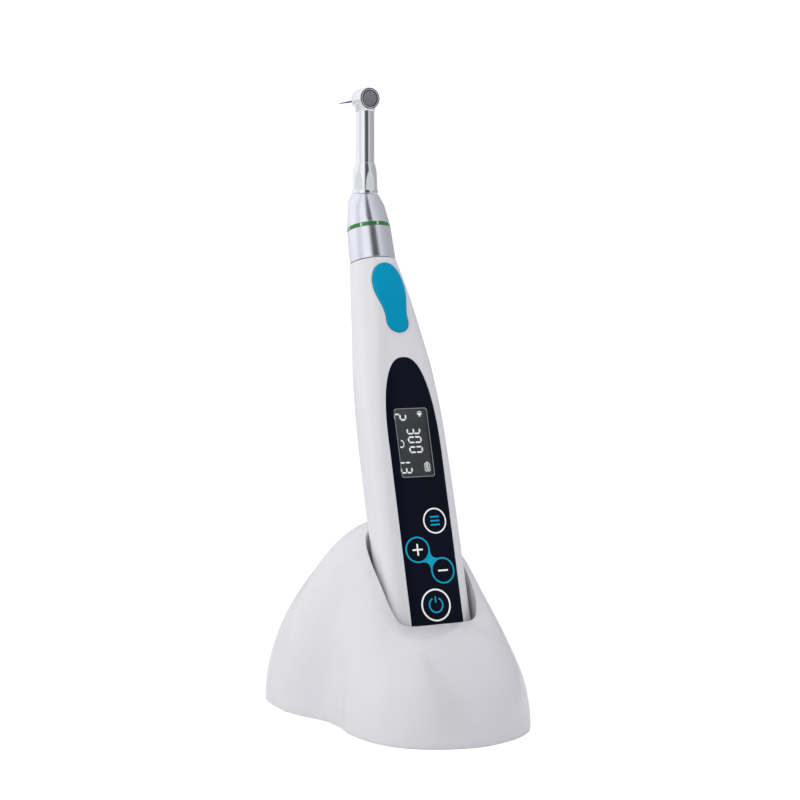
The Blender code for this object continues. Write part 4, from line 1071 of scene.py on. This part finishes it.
def make_coupling():
    """Motor nose with its seal and dog, and the ring that the contra-angle latches with."""
    nose = [(1.7, -8.0), (6.4, -8.0), (6.4, 0.1), (5.0, 0.1), (5.0, 9.2), (4.5, 9.8), (3.6, 9.8), (3.6, 1.0),
            (1.7, 1.0)]
    turned("coupling_nose", nose, "steel", "handpiece", HANDPIECE, ["motor_nose"], closed=True)
    seal = [(5.08, 0.35), (5.85, 0.35), (5.85, 0.85), (5.08, 0.85)]
    turned("coupling_seal", seal, "rubber", "handpiece", HANDPIECE, ["nose_seal"], closed=True, soft=0.24)
    latch = [(5.12, 1.1), (6.7, 1.1), (6.7, 10.6), (5.12, 10.6)]
    turned("latch_sleeve", latch, "brass", "latch", HANDPIECE, ["latch_ring"], closed=True, soft=0.3)
    shaft = [(0.01, -50), (1.2, -50), (1.2, 2.4), (2.4, 2.4), (2.4, 3.6), (1.0, 3.6), (1.0, 4.2), (0.01, 4.2)]
    turned("drive_dog", shaft, "steel", "motor_shaft", HANDPIECE, ["motor_shaft"], steps=48)


def make_sheath():
    """Lower sleeve, green band, and the upper part: a leaning cone crossed by an upright one."""
    lower = [(6.95, 0.08), (8.95, 0.08), (9.04, 0.2), (8.98, 2.6), (8.62, 12.85), (7.35, 12.85), (7.3, 11.0),
             (6.95, 10.9)]
    turned("sheath_lower", lower, "sheath", "contra_angle", HANDPIECE, ["lower_sheath"], closed=True,
           soft=0.1)
    band = [(7.35, 13.0), (8.56, 13.0), (8.54, 14.3), (7.35, 14.3)]
    turned("ratio_band", band, "ring", "contra_angle", HANDPIECE, ["ratio_ring"], closed=True, soft=0.08)
    leaning = [(0.01, 14.4), (8.42, 14.4), (8.5, 14.5), (8.5 - 0.16 * 17, 31.5), (0.01, 31.5)]
    upper = turned("sheath_upper", leaning, "sheath", "contra_angle", HANDPIECE, ["upper_sheath"], soft=0.05,
                   steps=144)
    upright = [(0.01, 175), (5.15 + 0.566 * 25.3, 175), (5.3, 200.0), (5.0, 200.3), (0.01, 200.3)]
    carve(upper, "INTERSECT", helper_turned(upright, NECK, 144))
    hollow = [(0.01, 12), (7.2, 12), (7.2, 17.0), (5.45, 19.0), (5.45, 22.3), (4.0, 22.8), (4.0, 24.0),
              (0.01, 24.0)]
    carve(upper, "DIFFERENCE", helper_turned(hollow, HANDPIECE, 96))
    mouth = [(0.01, 196.5), (3.85, 196.5), (3.85, 203), (0.01, 203)]
    carve(upper, "DIFFERENCE", helper_turned(mouth, NECK, 96))


def make_nut():
    """Bell-shaped nut with six arched wrench flats over a round foot."""
    flat_distance, steps = 4.75, 192
    outer = [(200.5, 5.0), (200.65, 5.15), (201.6, 5.15), (201.8, 5.08), (201.85, 5.12)]
    outer += [(201.85 + 10.3 * t, 5.12 - 0.22 * t - 0.95 * t**2.4) for t in (k / 28 for k in range(1, 29))]
    outer += [(212.35, 3.88), (212.5, 3.75)]
    rings = []
    for height, radius in outer:
        ring = []
        for angle in turns(steps):
            around = (angle + math.radians(90) + math.radians(30)) % math.radians(60) - math.radians(30)
            flat = flat_distance - 0.028 * max(0.0, height - 202)
            reach = radius if height < 201.82 else min(radius, flat / math.cos(around))
            ring.append((reach * math.cos(angle), reach * math.sin(angle), height))
        rings.append(ring)
    rings += [circle(3.7, 212.4, steps), circle(3.72, 200.6, steps)]
    ringed("wrench_nut", rings, "chrome", "contra_angle", NECK, ["lock_nut"], closed=True, sharp=14)


def make_head():
    """Neck tube, head barrel with a rounded back, collar with an arched edge, trim ring, push cap."""
    neck = turned("head_casting", [(0.01, 200.6), (3.55, 200.6), (3.65, 200.8), (3.65, 236.0), (0.01, 236.0)],
                  "chrome", "contra_angle", NECK, ["head_shell"], steps=128)
    collar_rows = []
    for lift, radius in ((0.0, 3.5), (0.0, 3.70), (0.12, 3.80), (0.5, 3.86), (1.3, 3.98), (2.6, 4.22)):
        ring = []
        for angle in turns(128):
            foot = 232.3 + 0.6 * math.cos(angle + math.radians(90)) ** 2
            height = foot + lift * (1 if lift < 1 else (235.4 - foot) / 2.6)
            ring.append((radius * math.cos(angle), radius * math.sin(angle), height))
        collar_rows.append(ring)
    barrel = [(0.01, -4.4), (3.9, -4.4), (4.15, -4.25), (HEAD_RADIUS, -3.95), (HEAD_RADIUS, 0.8), (4.22, 2.2),
              (4.0, 3.6), (3.62, 4.7), (3.15, 5.4), (2.75, 5.7), (2.6, 5.8), (0.01, 5.8)]
    carve(neck, "UNION", helper(collar_rows, NECK))
    carve(neck, "UNION", helper_turned(barrel, HEAD, 128))
    carve(neck, "DIFFERENCE", helper_turned([(0.01, 198), (2.7, 198), (2.7, 237), (0.01, 237)], NECK, 64))
    bore = [(0.01, -6), (3.5, -6), (3.5, 4.2), (2.3, 4.2), (2.3, 7), (0.01, 7)]
    carve(neck, "DIFFERENCE", helper_turned(bore, HEAD, 96))
    ring = [(3.34, -4.38), (3.34, -4.95), (3.42, -5.08), (3.58, -5.08), (3.66, -4.95), (3.68, -4.5),
            (4.0, -4.5), (4.02, -4.80), (4.1, -4.9), (4.2, -4.80), (4.22, -4.38)]
    turned("head_trim", ring, "chrome", "contra_angle", HEAD, ["head_ring"], closed=True, soft=0.05)
    for name, inner, outer, front in (("cap_seal", 3.06, 3.38, -4.6), ("trim_seal", 3.65, 4.03, -4.62)):
        seal = [(inner, -4.3), (inner, front), (outer, front), (outer, -4.3)]
        turned(name, seal, "black", "contra_angle", HEAD, closed=True, soft=0.03)
    cap = [(0.01, -3.7), (2.9, -3.7), (2.98, -3.8), (2.98, -4.72), (2.9, -4.88), (2.76, -4.95), (2.64, -4.86),
           (0.01, -4.82)]
    turned("push_cap", cap, "cap", "head_cap", HEAD, ["head_cap"], soft=0.05)


def make_file():
    """Shank and a tapering, three-edged spiral working part."""
    steps, rows, flutes = 36, 150, 5.5
    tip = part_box("endo_file")[1].y / MM - JOINTS["chuck_spin"]["pos_m"][1] / MM
    bm = bmesh.new()
    shank = ((1.05, -1.6), (1.15, -1.45), (1.15, 5.75), (0.95, 6.0), (0.55, 6.3))
    skin(bm, [circle(r, z, steps) for r, z in shank])
    rings = []
    for row in range(rows + 1):
        share = row / rows
        size = 0.58 * (1 - share) + 0.17 * share
        twist = 2 * math.pi * flutes * share**0.85
        ring = []
        for angle in turns(steps):
            reach = size * (0.86 + 0.26 * max(0.0, math.cos(3 * (angle - twist))) ** 2)
            ring.append((reach * math.cos(angle), reach * math.sin(angle), 6.2 + (tip - 6.2) * share))
        rings.append(ring)
    skin(bm, rings)
    put("canal_file", bm, "file", "file", HEAD, ["endo_file"], sharp=60)


# ---------------------------------------------------------------- inner pieces that keep their CAD shape

INNER_LOOKS = {
    "steel": ["ballast_plate", "motor_can", "input_shaft", "planet_carrier", "neck_shaft", "chuck_spindle",
              "ring_gear", "head_bearing"],
    "brass": ["battery_contact", "planet_gear_1", "planet_gear_2", "planet_gear_3", "input_bearing",
              "bend_bushing", "neck_bushing"],
    "board": ["charge_board", "main_board"],
    "wrap": ["battery"],
    "rubber": ["key_mat"],
    "black": ["pin_holder", "motor_mount", "trigger_switch"],
}


def dress_inner_nodes():
    """Gives the inner CAD nodes their materials."""
    for look, names in INNER_LOOKS.items():
        for name in names:
            node = frame["nodes"][name]
            node.data.materials.clear()
            node.data.materials.append(LOOKS[look])


# ---------------------------------------------------------------- floor, light and camera

def seen_white(tree, lighting, strength=1.1):
    """Mixes a plain white for the camera with the light that the rest of the scene receives."""
    path = tree.nodes.new("ShaderNodeLightPath")
    in_world = "World Output" in tree.nodes
    white = tree.nodes.new("ShaderNodeBackground" if in_world else "ShaderNodeEmission")
    white.inputs["Color"].default_value = (1, 1, 1, 1)
    white.inputs["Strength"].default_value = strength
    mix = tree.nodes.new("ShaderNodeMixShader")
    tree.links.new(path.outputs["Is Camera Ray"], mix.inputs[0])
    tree.links.new(lighting, mix.inputs[1])
    tree.links.new(white.outputs[0], mix.inputs[2])
    return mix.outputs["Shader"]


def make_world():
    """Soft surround: brightest up and to the left, with dark upright strips for the metal to mirror."""
    world = bpy.data.worlds.new("studio")
    world.use_nodes = True
    bpy.context.scene.world = world
    tree = world.node_tree
    nodes, links = tree.nodes, tree.links
    place = nodes.new("ShaderNodeTexCoord").outputs["Generated"]
    axes = axes_of(tree, place)
    around = math_node(tree, "ARCTAN2", axes["X"], math_node(tree, "MULTIPLY", axes["Y"], -1.0))
    dot = nodes.new("ShaderNodeVectorMath")
    dot.operation = "DOT_PRODUCT"
    dot.inputs[1].default_value = Vector(KEY_SIDE).normalized()
    links.new(place, dot.inputs[0])
    level = map_range(tree, dot.outputs["Value"], *SURROUND_LEVELS, -0.9, 0.9, "SMOOTHSTEP")
    for azimuth, half, soft, left in DARK_STRIPS:
        off = math_node(tree, "ABSOLUTE", math_node(tree, "SUBTRACT", around, math.radians(azimuth)))
        edge = map_range(tree, off, left, 1.0, math.radians(half), math.radians(half + soft), "SMOOTHSTEP")
        level = math_node(tree, "MULTIPLY", level, edge)
    surround = nodes["Background"]
    surround.inputs["Color"].default_value = SURROUND_TINT
    links.new(level, surround.inputs["Strength"])
    links.new(seen_white(tree, surround.outputs["Background"]), nodes["World Output"].inputs["Surface"])


def make_stage():
    """Pale floor and surround, soft light from the left and above, and the camera."""
    bpy.ops.mesh.primitive_plane_add(size=6, location=(0, 0, 0))
    floor = bpy.context.object
    floor.name = "floor"
    look = Look("pale_floor", "floor")
    look.set(Base_Color=look.blend(look.span(look.noise(3, 3), 0, 1), (0.86, 0.86, 0.87), (0.88, 0.88, 0.89)))
    look.set(Roughness=0.8)
    surface = look.nodes["Material Output"].inputs["Surface"]
    look.links.new(seen_white(look.tree, look.shader.outputs["BSDF"]), surface)
    floor.data.materials.append(look.material)
    make_world()
    bpy.context.scene.view_settings.view_transform = "Standard"

    for name, at, size, power, color in SOFT_LIGHTS:
        light = bpy.data.lights.new(name, "AREA")
        light.shape = "RECTANGLE"
        light.size, light.size_y = size
        light.energy = power
        light.color = color
        obj = bpy.data.objects.new(name, light)
        bpy.context.scene.collection.objects.link(obj)
        obj.location = at
        obj.rotation_euler = (LIGHTS_AIM - Vector(at)).to_track_quat("-Z", "Y").to_euler()
        obj.visible_glossy = False

    camera = bpy.data.cameras.new("camera")
    camera.lens = 85
    camera.sensor_width = 36
    camera.clip_start = 0.01
    obj = bpy.data.objects.new("camera", camera)
    bpy.context.scene.collection.objects.link(obj)
    obj.location = CAMERA_PLACE
    obj.rotation_euler = (CAMERA_TILT, 0, CAMERA_TURN)
    bpy.context.scene.camera = obj


LOOKS = make_looks()
make_stage()
make_dome()
make_cradle()
make_underside()
make_housing()
make_trigger()
make_panel()
make_display()
make_keys()
make_prints()
make_coupling()
make_sheath()
make_nut()
make_head()
make_file()
dress_inner_nodes()
